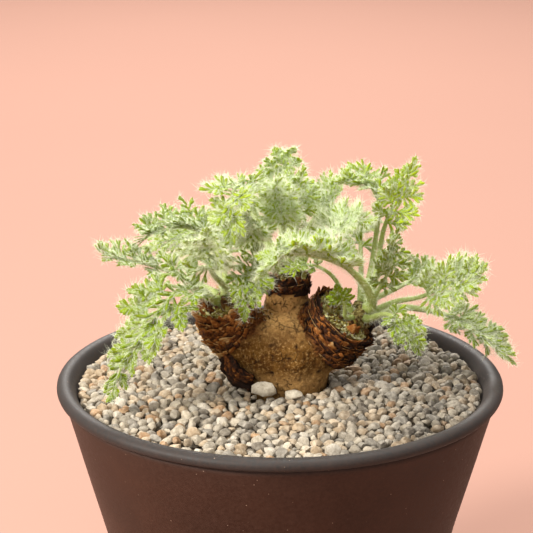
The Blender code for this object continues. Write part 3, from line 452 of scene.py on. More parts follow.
class Shade:
    """A material, its nodes and short ways to join them."""

    def __init__(self, name, roughness=0.7, specular=0.3):
        self.material = bpy.data.materials.new(name)
        self.material.use_nodes = True
        self.tree = self.material.node_tree
        self.shader = self.tree.nodes["Principled BSDF"]
        self.put(self.shader.inputs["Roughness"], roughness)
        self.put(self.shader.inputs["Specular IOR Level"], specular)
        self.place = self.node("TexCoord").outputs["Object"]

    def put(self, socket, value):
        if isinstance(value, bpy.types.NodeSocket):
            self.tree.links.new(value, socket)
        elif isinstance(value, tuple) and len(value) == 3 and socket.type == "RGBA":
            socket.default_value = (*value, 1.0)
        else:
            socket.default_value = value

    def node(self, kind, *inputs, **settings):
        """A new node with its settings and its inputs, given as (socket, value) pairs."""
        node = self.tree.nodes.new("ShaderNode" + kind)
        for key, value in settings.items():
            setattr(node, key, value)
        for key, value in inputs:
            self.put(node.inputs[key], value)
        return node

    def attribute(self, name, output="Fac"):
        return self.node("Attribute", attribute_name=name).outputs[output]

    def noise(self, size, detail=3.0, roughness=0.55, stretch=None):
        """Noise whose patches are about this many millimetres."""
        place = self.place
        if stretch:
            place = self.node("Mapping", ("Vector", place), ("Scale", stretch)).outputs[0]
        return self.node("TexNoise", ("Vector", place), ("Scale", 1.0 / (size * MM)), ("Detail", detail),
                         ("Roughness", roughness)).outputs["Fac"]

    def warped(self, amount, size):
        """The texture place, shifted about by noise: both numbers in millimetres."""
        drift = self.node("TexNoise", ("Vector", self.place), ("Scale", 1.0 / (size * MM))).outputs["Color"]
        drift = self.node("VectorMath", (0, drift), (1, (0.5, 0.5, 0.5)), operation="SUBTRACT").outputs[0]
        return self.node("VectorMath", (0, drift), (1, (amount * MM,) * 3), (2, self.place),
                         operation="MULTIPLY_ADD").outputs[0]

    def cells(self, size, feature="F1", place=None):
        return self.node("TexVoronoi", ("Vector", place or self.place), ("Scale", 1.0 / (size * MM)),
                         feature=feature).outputs["Distance"]

    def ramp(self, factor, *stops):
        """Colours or greys along a factor: (place, colour) pairs."""
        node = self.node("ValToRGB", ("Fac", factor))
        band = node.color_ramp
        while len(band.elements) < len(stops):
            band.elements.new(1.0)
        for element, (at, colour) in zip(band.elements, stops):
            element.position = at
            element.color = (*(colour if isinstance(colour, tuple) else (colour,) * 3), 1.0)
        return node.outputs["Color"]

    def mix(self, factor, a, b, kind="MIX"):
        return self.node("Mix", (0, factor), (6, a), (7, b), data_type="RGBA", blend_type=kind).outputs[2]

    def over(self, colour, factor, low, high, paint, kind="MIX"):
        """A colour with paint over it, as thick as a factor's ramp between two stops."""
        return self.mix(self.ramp(factor, low, high), colour, paint, kind)

    def sum(self, operation, a, b, clamp=False):
        return self.node("Math", (0, a), (1, b), operation=operation, use_clamp=clamp).outputs[0]

    def tone(self, factor, spread):
        """The points' tone, varied by a factor round its middle."""
        return self.sum("ADD", self.attribute("tone"),
                        self.sum("MULTIPLY", self.sum("SUBTRACT", factor, 0.5), spread))

    def done(self, colour, *bumps, glow=0.0):
        """The material with its colour, its bumps, as (height, strength, millimetres), and its glow.

        glow is the share of light that comes through, as in a thin leaf or a hair.
        """
        self.put(self.shader.inputs["Base Color"], colour)
        normal = self.shader.inputs["Normal"]
        for height, strength, depth in bumps:
            bump = self.node("Bump", ("Height", height), ("Strength", strength), ("Distance", depth * MM))
            if normal.is_linked:
                self.put(bump.inputs["Normal"], normal.links[0].from_socket)
            self.put(normal, bump.outputs[0])
        if glow:
            through = self.node("BsdfTranslucent", ("Color", colour))
            join = self.node("MixShader", (0, glow), (1, self.shader.outputs[0]), (2, through.outputs[0]))
            self.put(self.tree.nodes["Material Output"].inputs["Surface"], join.outputs[0])
        return self.material


def leaf_material():
    shade = Shade("silky leaf", 0.62, 0.15)
    edge, grey, bright = (shade.attribute(name) for name in ("edge", "grey", "bright"))
    green = shade.mix(bright, (0.11, 0.21, 0.003), (0.50, 0.66, 0.010))
    green = shade.mix(grey, green, (0.23, 0.33, 0.05))
    green = shade.over(green, shade.noise(5.0, 2.0), (0.3, 0.0), (0.7, 0.35), (0.42, 0.48, 0.03))
    pale = shade.mix(grey, (0.63, 0.78, 0.13), (0.59, 0.71, 0.25))
    colour = shade.over(green, edge, (0.6, 0.0), (1.0, 0.5), pale)
    return shade.done(colour, (shade.noise(0.5, 2.0), 0.25, 0.08), glow=0.42)


def stalk_material():
    shade = Shade("silky stalk", 0.6, 0.25)
    streaks = shade.noise(1.2, 3.0, stretch=(1.0, 1.0, 0.35))
    colour = shade.mix(shade.attribute("grey"), (0.33, 0.42, 0.08), (0.30, 0.38, 0.17))
    colour = shade.over(colour, streaks, (0.35, 0.0), (0.65, 0.5), (0.50, 0.56, 0.22))
    return shade.done(colour, (streaks, 0.3, 0.15), glow=0.2)


def hair_material(name, colour, glow):
    shade = Shade(name, 0.5, 0.4)
    lighter = tuple(min(1.0, 1.12 * c) for c in colour)
    return shade.done(shade.over(colour, shade.noise(3.0, 2.0), (0.3, 0.0), (0.7, 1.0), lighter), glow=glow)


def bark_material():
    shade = Shade("bark", 0.9, 0.12)
    crack, collar, meal, pale = (shade.attribute(name) for name in ("crack", "collar", "meal", "pale"))
    grain, speck = shade.noise(0.75, 4.0, 0.75), shade.noise(1.3, 3.0, 0.65)
    colour = shade.ramp(shade.noise(5.0, 4.0, 0.6), (0.34, (0.062, 0.024, 0.0036)),
                        (0.5, (0.106, 0.044, 0.0066)), (0.66, (0.157, 0.075, 0.0145)))
    colour = shade.over(colour, grain, (0.48, 0.0), (0.66, 0.7), (0.25, 0.138, 0.038))
    # Paler on the neck and the foot than on the middle: painted light on the neck, painted shade on the middle.
    colour = shade.mix(pale, colour, (0.52, 0.305, 0.110))
    colour = shade.over(colour, grain, (0.54, 0.0), (0.68, 0.50), (0.50, 0.32, 0.135))
    colour = shade.over(colour, grain, (0.30, 0.85), (0.44, 0.0), (0.060, 0.024, 0.007))
    colour = shade.over(colour, speck, (0.30, 0.8), (0.40, 0.0), (0.060, 0.024, 0.008))
    peel = shade.ramp(shade.noise(1.1, 4.0, 0.65, (1.0, 1.0, 2.2)), (0.30, (0.022, 0.008, 0.004)),
                      (0.48, (0.095, 0.032, 0.008)), (0.62, (0.20, 0.078, 0.020)), (0.8, (0.33, 0.18, 0.065)))
    mealy = shade.ramp(shade.noise(0.8, 3.0, 0.7), (0.38, (0.022, 0.012, 0.005)),
                       (0.5, (0.13, 0.10, 0.028)), (0.68, (0.36, 0.32, 0.13)))
    colour = shade.mix(meal, shade.mix(collar, colour, peel), mealy)
    edges = shade.cells(4.6, "DISTANCE_TO_EDGE", shade.warped(2.6, 1.6))
    thin = shade.sum("MULTIPLY", shade.ramp(edges, (0.0, 1.0), (0.030, 0.0)),
                     shade.ramp(shade.noise(7.0, 2.0), (0.52, 0.0), (0.58, 0.9)))
    thin = shade.sum("MULTIPLY", thin, shade.sum("SUBTRACT", 1.0, collar, clamp=True))
    colour = shade.mix(shade.sum("MAXIMUM", thin, crack), colour, (0.020, 0.008, 0.003))
    return shade.done(colour, (grain, 0.9, 0.4), (speck, 0.6, 0.6), (shade.sum("SUBTRACT", 1.0, thin), 0.8, 0.5))


def scale_material():
    shade = Shade("dry scale", 0.8, 0.2)
    fibre = shade.noise(0.9, 4.0, 0.65)
    colour = shade.ramp(shade.tone(fibre, 1.5), (0.0, (0.014, 0.005, 0.002)), (0.28, (0.060, 0.019, 0.005)),
                        (0.52, (0.175, 0.055, 0.008)), (0.76, (0.29, 0.115, 0.024)), (1.0, (0.43, 0.27, 0.11)))
    return shade.done(colour, (fibre, 0.6, 0.3), glow=0.06)


def meal_material():
    shade = Shade("mealy wool", 0.9, 0.15)
    grain = shade.noise(0.35, 3.0, 0.65)
    colour = shade.ramp(shade.tone(grain, 0.6), (0.0, (0.030, 0.012, 0.004)), (0.25, (0.12, 0.058, 0.015)),
                        (0.45, (0.20, 0.165, 0.030)), (0.7, (0.38, 0.35, 0.12)), (1.0, (0.54, 0.53, 0.32)))
    return shade.done(colour, (grain, 0.5, 0.2))


def pebble_material():
    shade = Shade("pebbles", 0.75, 0.3)
    grain, patch = shade.noise(0.45, 4.0, 0.7), shade.noise(1.3, 3.0, 0.6)
    colour = shade.attribute("stone", "Color")
    colour = shade.over(colour, patch, (0.3, 0.45), (0.6, 0.0), (0.30, 0.25, 0.19), "MULTIPLY")
    colour = shade.over(colour, patch, (0.45, 0.0), (0.8, 0.4), (0.55, 0.49, 0.40))
    colour = shade.over(colour, grain, (0.30, 0.7), (0.45, 0.0), (0.12, 0.09, 0.06))
    return shade.done(colour, (grain, 0.5, 0.25), (patch, 0.5, 0.5))


# The bed under the stones is near black: painted shade in the gaps between them.
def shadow_bed_material():
    shade = Shade("gravel shadow bed", 0.95, 0.1)
    colour = shade.ramp(shade.noise(1.2, 3.0), (0.35, (0.03, 0.022, 0.016)), (0.65, (0.13, 0.10, 0.07)))
    return shade.done(colour, (shade.noise(1.0, 2.0), 0.5, 0.6))


def stoneware_material():
    shade = Shade("stoneware", 0.5, 0.22)
    broad, fine = shade.noise(22.0, 4.0, 0.6), shade.noise(1.0, 4.0, 0.7)
    body = shade.ramp(broad, (0.3, (0.022, 0.0074, 0.0034)), (0.7, (0.034, 0.0124, 0.0062)))
    rim = shade.ramp(broad, (0.3, (0.018, 0.0165, 0.0155)), (0.7, (0.029, 0.027, 0.0255)))
    colour = shade.mix(shade.attribute("lip"), body, rim)
    colour = shade.over(colour, fine, (0.35, 0.0), (0.75, 0.22), (0.115, 0.062, 0.042))
    dots = shade.sum("MULTIPLY", shade.ramp(shade.cells(1.7), (0.05, 1.0), (0.10, 0.0)),
                     shade.ramp(shade.noise(4.0, 2.0), (0.56, 0.0), (0.62, 1.0)))
    colour = shade.mix(shade.sum("MULTIPLY", dots, 0.7), colour, (0.42, 0.30, 0.22))
    shade.put(shade.shader.inputs["Roughness"], shade.ramp(fine, (0.3, 0.48), (0.7, 0.66)))
    return shade.done(colour, (fine, 0.22, 0.12), (broad, 0.15, 0.5))


def crumbly_material(name, dark, light, size):
    shade = Shade(name, 0.95, 0.1)
    colour = shade.ramp(shade.noise(size, 4.0, 0.7), (0.3, dark), (0.7, light))
    return shade.done(colour, (shade.noise(size, 3.0), 0.6, 0.5))


def floor_material():
    shade = Shade("pale floor", 0.85, 0.1)
    colour = shade.ramp(shade.noise(300.0, 2.0), (0.3, (0.370, 0.211, 0.165)), (0.7, (0.378, 0.215, 0.168)))
    return shade.done(colour)


# Stage

def make_stage():
    scene = bpy.context.scene
    data = bpy.data.cameras.new("camera")
    data.sensor_width = SENSOR
    data.lens = SENSOR * FOCAL_PIXELS / IMAGE_PIXELS
    data.clip_start = 0.01
    scene.camera = new_object("camera", data)
    scene.camera.location = Vector(CAMERA_PLACE) * MM
    scene.camera.rotation_euler = (math.radians(90 - CAMERA_PITCH), 0, 0)
    scene.view_settings.view_transform = "Standard"

    work = bmesh.new()
    bmesh.ops.create_grid(work, x_segments=8, y_segments=8, size=3.0)
    floor = new_object("floor", mesh_of("floor", work))
    floor.data.materials.append(floor_material())

    scene.world = bpy.data.worlds.new("studio")
    scene.world.use_nodes = True
    background = scene.world.node_tree.nodes["Background"]
    background.inputs["Color"].default_value = WORLD_COLOUR
    background.inputs["Strength"].default_value = WORLD_STRENGTH

    for name, place, size, power, colour in LAMPS:
        light = bpy.data.lights.new(name, "AREA")
        light.shape, light.size, light.energy, light.color = "DISK", size, power, colour
        lamp = new_object(name, light)
        lamp.location = place
        lamp.rotation_euler = (LAMP_TARGET - Vector(place)).to_track_quat("-Z", "Y").to_euler()


# Pot

def wall_radius(height):
    return BODY_TOP_RADIUS - WALL_SLOPE * (BODY_TOP - height)


def pot_profile():
    """(radius, height, lip share) from the middle of the inner floor over the rim to the middle below."""
    inner_top, inner_foot = BODY_TOP + 1.6, FLOOR + 2.0
    rows = [(0.0, FLOOR, 0.0), (wall_radius(FLOOR) - WALL - 2.0, FLOOR, 0.0),
            (wall_radius(FLOOR) - WALL, inner_foot, 0.0)]
    for i in range(1, 7):
        height = lerp(inner_foot, inner_top, i / 6)
        rows.append((wall_radius(height) - WALL, height, i / 6))
    for angle in range(155, -50, -20):
        turn = math.radians(angle)
        rows.append((RIM_RADIUS + LIP_WIDE * (math.cos(turn) - 1),
                     POT_HEIGHT + LIP_TALL * (math.sin(turn) - 1), 1.0))
    shoulder, neck = BODY_TOP - 1.6, BODY_TOP_RADIUS - GROOVE
    rows += [(neck, BODY_TOP + GROOVE, 0.9), (neck, BODY_TOP + 0.1, 0.7),
             (BODY_TOP_RADIUS, BODY_TOP - GROOVE, 0.3), (wall_radius(shoulder), shoulder, 0.1)]
    for i in range(1, 12):
        height = lerp(shoulder, 1.2, i / 11)
        rows.append((wall_radius(height), height, 0.0))
    return rows + [(wall_radius(0.4), 0.35, 0.0), (wall_radius(0) - 0.9, 0.0, 0.0), (30.0, 0.0, 0.0),
                   (0.0, 0.0, 0.0)]


def make_pot(material):
    rows = pot_profile()
    points, lip = [], []
    for radius, height, share in rows:
        for c, s in circle(POT_SIDES) if radius else [(0.0, 0.0)]:
            reach = radius + 0.10 * ripple(radius * c / 16, radius * s / 16, height / 16)
            points.append((c * reach, s * reach, height))
            lip.append(share)
    rings, ring = len(rows) - 2, np.arange(POT_SIDES) + 1
    ahead, low = np.roll(ring, -1), (rings - 1) * POT_SIDES
    inside = np.stack([0 * ring, ring, ahead], axis=1)
    underside = np.stack([0 * ring + len(points) - 1, low + ahead, low + ring], axis=1)
    wall = tube_faces(rings, POT_SIDES, flip=True, caps=0) + 1
    mesh = triangle_mesh("stoneware_pot", points, np.concatenate([inside, wall, underside]))
    set_attribute(mesh, "lip", lip)
    pot = new_piece("stoneware_pot", mesh, [material], "stoneware", "pot")
    drills = []
    for i in range(DRAIN_HOLES):
        angle = 2 * math.pi * (i + DRAIN_TURN) / DRAIN_HOLES
        place = Vector((DRAIN_RING * math.cos(angle), DRAIN_RING * math.sin(angle), 0)) * MM
        work = bmesh.new()
        bmesh.ops.create_cone(work, cap_ends=True, segments=32, radius1=DRAIN_RADIUS * MM,
                              radius2=DRAIN_RADIUS * MM, depth=4 * FLOOR * MM, matrix=Matrix.Translation(place))
        drills.append(new_object("drill", mesh_of("drill", work)))
        cut = pot.modifiers.new("drain", "BOOLEAN")
        cut.operation = "DIFFERENCE"
        cut.object = drills[-1]
    mesh = applied(pot)
    for drill in drills:
        bpy.data.objects.remove(drill)
    mesh.set_sharp_from_angle(angle=math.radians(60))


# Gravel

def gravel_height(x, y):
    return GRAVEL_TOP + GRAVEL_MOUND * np.exp(-((x ** 2 + y ** 2) / MOUND_REACH ** 2))


def trunk_radius(angle):
    """The radius of the trunk where it stands in the gravel, seen from its middle."""
    return 1.0 / np.sqrt((np.cos(angle) / TRUNK_HALF[0]) ** 2 + (np.sin(angle) / TRUNK_HALF[1]) ** 2)


def settled(radii, seed, rounds):
    """Places round stones so that they touch but hardly overlap, between the trunk and the wall."""
    draw = np.random.default_rng(seed)
    count = len(radii)
    radius = GRAVEL_RADIUS * np.sqrt(draw.uniform(0.05, 1.0, count))
    angle = draw.uniform(0, 2 * np.pi, count)
    spots = np.stack([radius * np.cos(angle), radius * np.sin(angle)], axis=1)
    middle = np.array(TRUNK_FOOT)
    touching = (radii[:, None] + radii) * 0.93
    for _ in range(rounds):
        apart = spots[:, None, :] - spots
        far = np.linalg.norm(apart, axis=2) + np.eye(count) * 1e3
        spots += 0.32 * (apart * (np.maximum(touching - far, 0.0) / far)[:, :, None]).sum(axis=1)
        spots *= np.minimum(1.0, (GRAVEL_RADIUS - radii) / np.linalg.norm(spots, axis=1))[:, None]
        arm = spots - middle
        inner = trunk_radius(np.arctan2(arm[:, 1], arm[:, 0])) + 0.85 * radii
        spots = middle + arm * np.maximum(1.0, inner / np.linalg.norm(arm, axis=1))[:, None]
    return spots


def stone_shapes(count, seed):
    """Rounded, angular stones about 1 in radius, as points round a ball, with the ball's triangles."""
    round_points, triangles = ball(2)
    round_points = unit(round_points)
    draw = np.random.default_rng(seed)
    flats = unit(draw.normal(size=(count, 6, 3)))
    flats = unit(np.concatenate([flats, -flats[:, :4] + 0.4 * draw.normal(size=(count, 4, 3))], axis=1))
    away = draw.uniform(0.60, 0.98, size=flats.shape[:2])
    facing = np.maximum(np.einsum("vk,npk->nvp", round_points, flats), 1e-3)
    radius = ((facing / away[:, None, :]) ** STONE_SHARPNESS).sum(axis=2) ** (-1 / STONE_SHARPNESS)
    return round_points[None, :, :] * np.minimum(radius, 1.12)[:, :, None], triangles


STONE_COLOURS = np.array([
    (0.40, 0.35, 0.27), (0.52, 0.45, 0.34), (0.31, 0.28, 0.23), (0.52, 0.41, 0.28), (0.44, 0.27, 0.14),
    (0.20, 0.17, 0.13), (0.43, 0.32, 0.20), (0.60, 0.54, 0.44),
])
STONE_SHARES = np.array([0.24, 0.18, 0.14, 0.14, 0.07, 0.05, 0.12, 0.06])
STONE_SHARPNESS = 18.0


def stones(name, spots, heights, radii, seed, material, special=()):
    """One piece of many stones. special holds (place, half axes, yaw, colour) of a few more."""
    draw = np.random.default_rng(seed)
    count = len(spots) + len(special)
    shapes, triangles = stone_shapes(count, seed + 1)
    axes = np.stack([np.ones(count), draw.uniform(0.76, 0.98, count), draw.uniform(0.66, 0.88, count)], axis=1)
    axes[:len(spots)] *= radii[:, None]
    yaw = draw.uniform(0, 2 * np.pi, count)
    tilt = draw.normal(0, 0.30, (count, 2))
    centres = np.concatenate([np.column_stack([spots, heights])] + [np.array([s[0]]) for s in special])
    pick = draw.choice(len(STONE_COLOURS), size=count, p=STONE_SHARES)
    colours = STONE_COLOURS[pick] * draw.uniform(0.80, 1.12, (count, 1))
    # The stones get darker to the right: painted shade of the fronds that hang over them.
    colours = 0.83 * colours * (1.0 - RIGHT_STONES_PAINTED_SHADE * np.clip((centres[:, 0:1] - 6.0) / 32.0, 0, 1))
    for k, (_, half, turn, colour) in enumerate(special, len(spots)):
        axes[k], yaw[k], tilt[k], colours[k] = half, turn, 0.0, colour
    points = shapes * axes[:, None, :]
    for a, b, angle in ((1, 2, tilt[:, 0]), (0, 2, tilt[:, 1]), (0, 1, yaw)):
        c, s = np.cos(angle)[:, None], np.sin(angle)[:, None]
        first, second = points[:, :, a].copy(), points[:, :, b].copy()
        points[:, :, a], points[:, :, b] = c * first - s * second, s * first + c * second
    points += centres[:, None, :]
    per = shapes.shape[1]
    mesh = triangle_mesh(name, points.reshape(-1, 3), copies(triangles, count, per))
    set_attribute(mesh, "stone", np.repeat(colours, per, axis=0))
    new_piece(name, mesh, [material], "pebbles", "gravel_dressing")
    mesh.set_sharp_from_angle(angle=math.radians(38))


def make_gravel(material, under):
    draw = np.random.default_rng(41)
    for name, count, radius, spread, limits, rounds, sunk, uneven, seed, special in PEBBLE_LAYERS:
        radii = np.clip(draw.normal(radius, spread, count), *limits)
        spots = settled(radii, seed, rounds)
        heights = gravel_height(spots[:, 0], spots[:, 1]) - sunk + draw.normal(0, uneven, count)
        stones(name, spots, heights, radii, seed + 1, material, special)

    # The bed under them, dark as painted shade in the gaps between the stones: a flat ring, closed round the
    # trunk
    sides = 72
    shares = np.linspace(0, 1, 10)
    levels = [(share, GRAVEL_TOP - 2.0, 0.3, BED_RADII[0]) for share in shares]
    levels += [(share, MIX_TOP + GAP, -0.9, BED_RADII[1]) for share in shares[::-1]]
    points = []
    for share, level, wider, outer in levels:
        x, y = Vector(TRUNK_FOOT) * (1 - share)
        for c, s in circle(sides):
            reach = lerp(trunk_radius(math.atan2(s, c)) + wider, outer, share)
            points.append((x + reach * c, y + reach * s, level))
    faces = tube_faces(len(levels) + 1, sides, flip=True, caps=0) % len(points)
    new_piece("gravel_shadow_bed", triangle_mesh("gravel_shadow_bed", points, faces), [under], "pebbles", "gravel_dressing")


# Caudex

def limb_frame(stations, place):
    """A limb's centre, axis, two side directions and half widths at a fractional station."""
    index = min(int(place), len(stations) - 2)
    low, high = stations[index], stations[index + 1]
    centre, wide, thick = (lerp(a, b, place - index) for a, b in (
        (Vector(low[:3]), Vector(high[:3])), (low[3], high[3]), (low[4], high[4])))
    ahead, behind = stations[min(index + 1, RIM_STATION)], stations[max(min(index, RIM_STATION - 1) - 1, 0)]
    axis = (Vector(ahead[:3]) - Vector(behind[:3])).normalized()
    across = (Vector((1, 0, 0)) - axis * axis.x).normalized()
    return centre, axis, across, axis.cross(across), wide, thick


def collar_share(point):
    """How far a point of the bark belongs to the peeling bark under the heads, and to a head's mealy inside."""
    peel, meal = 0.0, 0.0
    for collar in COLLARS.values():
        depth, reach = collar["bark"]
        centre, axis, _, _, wide, thick = limb_frame(collar["stations"], RIM_STATION)
        arm = point - centre
        along = arm.dot(axis)
        radial = (arm - axis * along).length / (0.5 * (wide + thick))
        if radial < reach:
            peel = max(peel, clamp((along + depth - 1.6 * noise.noise(point / 3.0)) / 1.6))
            if along > -2.5:
                meal = max(meal, clamp((0.93 - radial) / 0.12))
    return peel, meal


def make_caudex(material):
    """The bark: a finer copy of the solid, with grain, wrinkles, cracks and mealy heads."""
    piece = new_piece("bark_caudex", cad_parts["caudex"].data.copy(), [], "bark", "caudex")
    piece.data.materials.clear()
    remesh = piece.modifiers.new("remesh", "REMESH")
    remesh.mode = "VOXEL"
    remesh.voxel_size = CAUDEX_VOXEL * MM
    smooth = piece.modifiers.new("smooth", "SMOOTH")
    smooth.factor = 0.5
    smooth.iterations = 7
    mesh = applied(piece)
    mesh.materials.append(material)
    normals = [v.normal.copy() for v in mesh.vertices]
    rows = np.zeros((len(normals), 4))
    for vertex, normal, row in zip(mesh.vertices, normals, rows):
        p = vertex.co / MM
        if p.z < BARK_FOOT:
            continue
        peel, inside = collar_share(p)
        outside = 1 - inside
        warp = Vector((noise.noise(p / 4.0), noise.noise(p / 4.0 + Vector((7, 3, 1))),
                       noise.noise(p / 4.0 - Vector((3, 8, 5)))))
        lift = 0.45 * noise.fractal(p / 5.0, 1.0, 2.0, 3)
        lift += 0.14 * noise.noise(p / 1.3) + 0.08 * noise.noise(p / 0.6)
        near, _ = noise.voronoi((p + 1.6 * warp) / 5.5)
        gap = (near[1] - near[0]) * 5.5
        mask = clamp(3.2 * noise.noise(p / 9.0 + Vector((2, 9, 4))) + 0.25)
        line = 0.5 * max(0.0, 1.0 - gap / 0.4) * mask * (1.0 - peel)
        pit = max(0.0, noise.noise(p / 1.5 + Vector((5, 5, 5))) - 0.42) * 3.0 * outside
        lift -= 0.5 * line + 0.35 * pit
        if peel > 0:
            stations = min((collar["stations"] for collar in COLLARS.values()),
                           key=lambda limb: (p - Vector(limb[RIM_STATION][:3])).length)
            centre, axis, *_ = limb_frame(stations, RIM_STATION)
            saw = ((p - centre).dot(axis) + 1.1 * noise.noise(p / 3.5)) / 1.15 % 1.0
            lift += peel * outside * (0.75 * (saw - 0.45) + 0.25 * noise.noise(p / 0.9))
            line = max(line, peel * outside * max(0.0, 1.0 - saw / 0.22) * 0.8)
        if inside > 0:
            lift += inside * (0.5 * noise.noise(p / 0.95) + 0.3 * noise.noise(p / 2.2) + 0.25)
        vertex.co += normal * (lift * MM)
        # pale: paler on the neck above 102 mm and towards the foot below 96.5 mm. The darker middle between them
        # is painted shade, the pale neck painted light.
        row[:] = (clamp(line + pit), peel, inside,
                  0.62 * clamp((p.z - 102.0) / 7.0) + 0.42 * clamp((96.5 - p.z) / 4.0))
    for name, values in zip(("crack", "collar", "meal", "pale"), rows.T):
        set_attribute(mesh, name, values)


def plate_grid(rows, columns, point):
    """The places, outward ways and tones that point gives for shares up, 0 to 1, and across, -1 to 1."""
    cells = [point(r / (rows - 1), 2 * c / (columns - 1) - 1) for r in range(rows) for c in range(columns)]
    return [np.array([cell[k] for cell in cells], dtype=float).reshape(rows, columns, -1) for k in range(3)]


def curved_plate(heap, grid, thickness, tone=0.0):
    """A closed thin plate from a grid of places, outward ways and tones."""
    spots, outs, tones = grid
    half = tones.size
    index = np.arange(half).reshape(tones.shape[:2])
    a, b, c, d = (part.ravel() for part in (index[:-1, :-1], index[:-1, 1:], index[1:, 1:], index[1:, :-1]))
    rim = np.array([*index[0], *index[1:, -1], *index[-1, -2::-1], *index[-2:0:-1, 0]])
    ahead = np.roll(rim, -1)
    corners = [(a, d, c), (a, c, b), (a + half, c + half, d + half), (a + half, b + half, c + half),
               (rim, ahead, ahead + half), (rim, ahead + half, rim + half)]
    faces = np.concatenate([np.stack(three, axis=1) for three in corners])
    heap.add(np.concatenate([spots, spots + outs * thickness]), faces, tone=np.tile(tones.ravel() + tone, 2))


def strand(heap, spots, radius, tone):
    """A dry fibre: a thin three-sided tube along a few points."""
    points = []
    for i, spot in enumerate(spots):
        side, other = sides_of(spots[min(i + 1, len(spots) - 1)] - spots[max(i - 1, 0)])
        thin = radius * (1.0 - 0.6 * abs(2 * i / (len(spots) - 1) - 1) ** 3)
        points += [spot + (side * c + other * s) * thin for c, s in circle(3)]
    heap.add(points, tube_faces(len(spots), 3), tone=tone)


def round_limb(stations, place, angle, rise, off):
    """A point at an angle round a limb, raised along it and stood off it."""
    centre, axis, across, deep, wide, thick = limb_frame(stations, place)
    arm = across * wide * math.cos(angle) + deep * thick * math.sin(angle)
    out = arm.normalized()
    return centre + arm + axis * rise + out * off, out


def make_collar(head, collar, material):
    """Layered dry scales round a head, with fibres and crumbs of them."""
    seed, stations, tiers = collar["seed"], collar["stations"], collar["tiers"]
    draw = random.Random(seed)
    shift = Vector((seed, 2 * seed, 0))
    lowest, top_lift = tiers[0][0], tiers[-1][3]
    heap = Heap()
    for place, scales, height, lift, *arc in tiers:
        turn = draw.uniform(0, 2 * math.pi)
        for k in range(scales):
            middle = turn + 2 * math.pi * (k + draw.uniform(-0.3, 0.3)) / scales
            if arc:
                middle = math.radians(draw.uniform(*arc))
            reach = math.radians(draw.uniform(*collar["spread"]))
            lean = draw.uniform(*collar["lean"])
            out_by = lift + draw.uniform(-0.25, 0.35)
            sink = draw.uniform(-0.6, 0.4)
            slope = draw.uniform(-1, 1) * collar["slope"]
            tall = height * draw.uniform(0.7, 1.3)
            shade = draw.uniform(0.0, 0.55) + collar["tone"]

            def scale_point(u, cross):
                angle = middle + 0.5 * reach * cross
                key = Vector((math.cos(angle), math.sin(angle), 0.35 * place)) * 3.2 + shift * (1 + 0.1 * k)
                fold, fine = noise.noise(key), noise.noise(key * 4.5)
                up = u * tall * (1 - 0.7 * abs(cross) ** 3) * (1 + collar["torn"] * fine)
                stand = out_by + lean * up + collar["crumple"] * (0.9 * fold + 0.6 * fine) * (0.35 + 0.65 * u)
                spot, out = round_limb(stations, place, angle, up + sink + slope * cross + 0.4 * fold, stand)
                return spot, out, shade + 0.25 * u + 0.55 * fine + 0.25 * fold

            columns = max(6, round(math.degrees(reach) / 5))
            curved_plate(heap, plate_grid(4, columns, scale_point), draw.uniform(0.14, 0.28))
    for _ in range(collar["fibres"]):
        place = draw.uniform(lowest, RIM_STATION)
        middle = draw.uniform(0, 2 * math.pi)
        reach = math.radians(draw.uniform(15, 60))
        high, slope = draw.uniform(-0.3, 1.6) * (place / RIM_STATION) ** 2, draw.uniform(-1.0, 1.0)
        stand = top_lift + draw.uniform(0.2, 0.9)
        spots = []
        for cross in np.linspace(-1, 1, 10):
            angle = middle + 0.5 * reach * cross
            wave = 0.5 * noise.noise(Vector((angle * 3, place * 5, 0)) + shift)
            spots.append(round_limb(stations, place, angle, high + slope * cross + wave, stand + wave)[0])
        strand(heap, spots, draw.uniform(0.06, 0.13), draw.uniform(0.55, 1.1))
    for _ in range(collar["crumbs"]):
        place, around = draw.uniform(lowest, RIM_STATION), draw.uniform(0, 2 * math.pi)
        rise, stand = draw.uniform(-0.4, 1.2), top_lift + draw.uniform(0.0, 0.8)
        spot, out = round_limb(stations, place, around, rise, stand)
        way = (out + Vector((draw.gauss(0, 0.4), draw.gauss(0, 0.4), draw.gauss(0, 0.5)))).normalized()
        side, other = sides_of(way)
        wide, tall = draw.uniform(0.4, 1.1), draw.uniform(0.3, 0.7)

        def crumb_point(u, cross):
            curl = draw.uniform(-0.12, 0.12) - 0.35 * cross ** 2
            at = spot + side * (wide * cross + draw.uniform(-0.1, 0.1))
            return at + other * (tall * (2 * u - 1) + draw.uniform(-0.1, 0.1)) + way * curl, way, 0.0

        grid = plate_grid(3, 4, crumb_point)
        curved_plate(heap, grid, draw.uniform(0.1, 0.2), draw.uniform(-0.1, 0.95) + collar["tone"])
    heap.piece("peeling_scales_" + head, [material], "dry_scale", "crown_scales_" + head)


def crown_spot(crown, share, angle, raised=0.0):
    """A place on a head's filling, at a share of the way from its middle to its rim and at an angle."""
    centre, axis, across, deep, wide, thick = limb_frame(crown["stations"], RIM_STATION)
    c, s = math.cos(angle), math.sin(angle)
    arm = across * wide * c + deep * thick * s
    height = lerp(crown["top"], crown["edge"], share ** 2) + raised
    height += 0.5 * ripple(3.0 * share * c, 3.0 * share * s, crown["seed"])
    return centre + arm * (0.9 * share) + axis * height, axis, arm.normalized()


def add_grains(heap, grains, draw):
    """Mealy grains, as (place, size, tone): each a turned, squeezed little ball."""
    points, triangles = ball(1)
    for place, size, tone in grains:
        turn = scatter(draw, 1.0).to_track_quat("Z", "Y").to_matrix()
        shape = points * np.array([draw.uniform(0.7, 1.3), draw.uniform(0.7, 1.3), draw.uniform(0.7, 1.2)]) * size
        heap.add(shape @ np.array(turn).T + np.array(place), triangles, tone=tone)


def add_wisp(heap, spot, way, length):
    """A short woolly hair of one triangle."""
    across = sides_of(way)[0] * 0.035
    heap.add([spot - across, spot + across, spot + way.normalized() * length], [(0, 1, 2)])


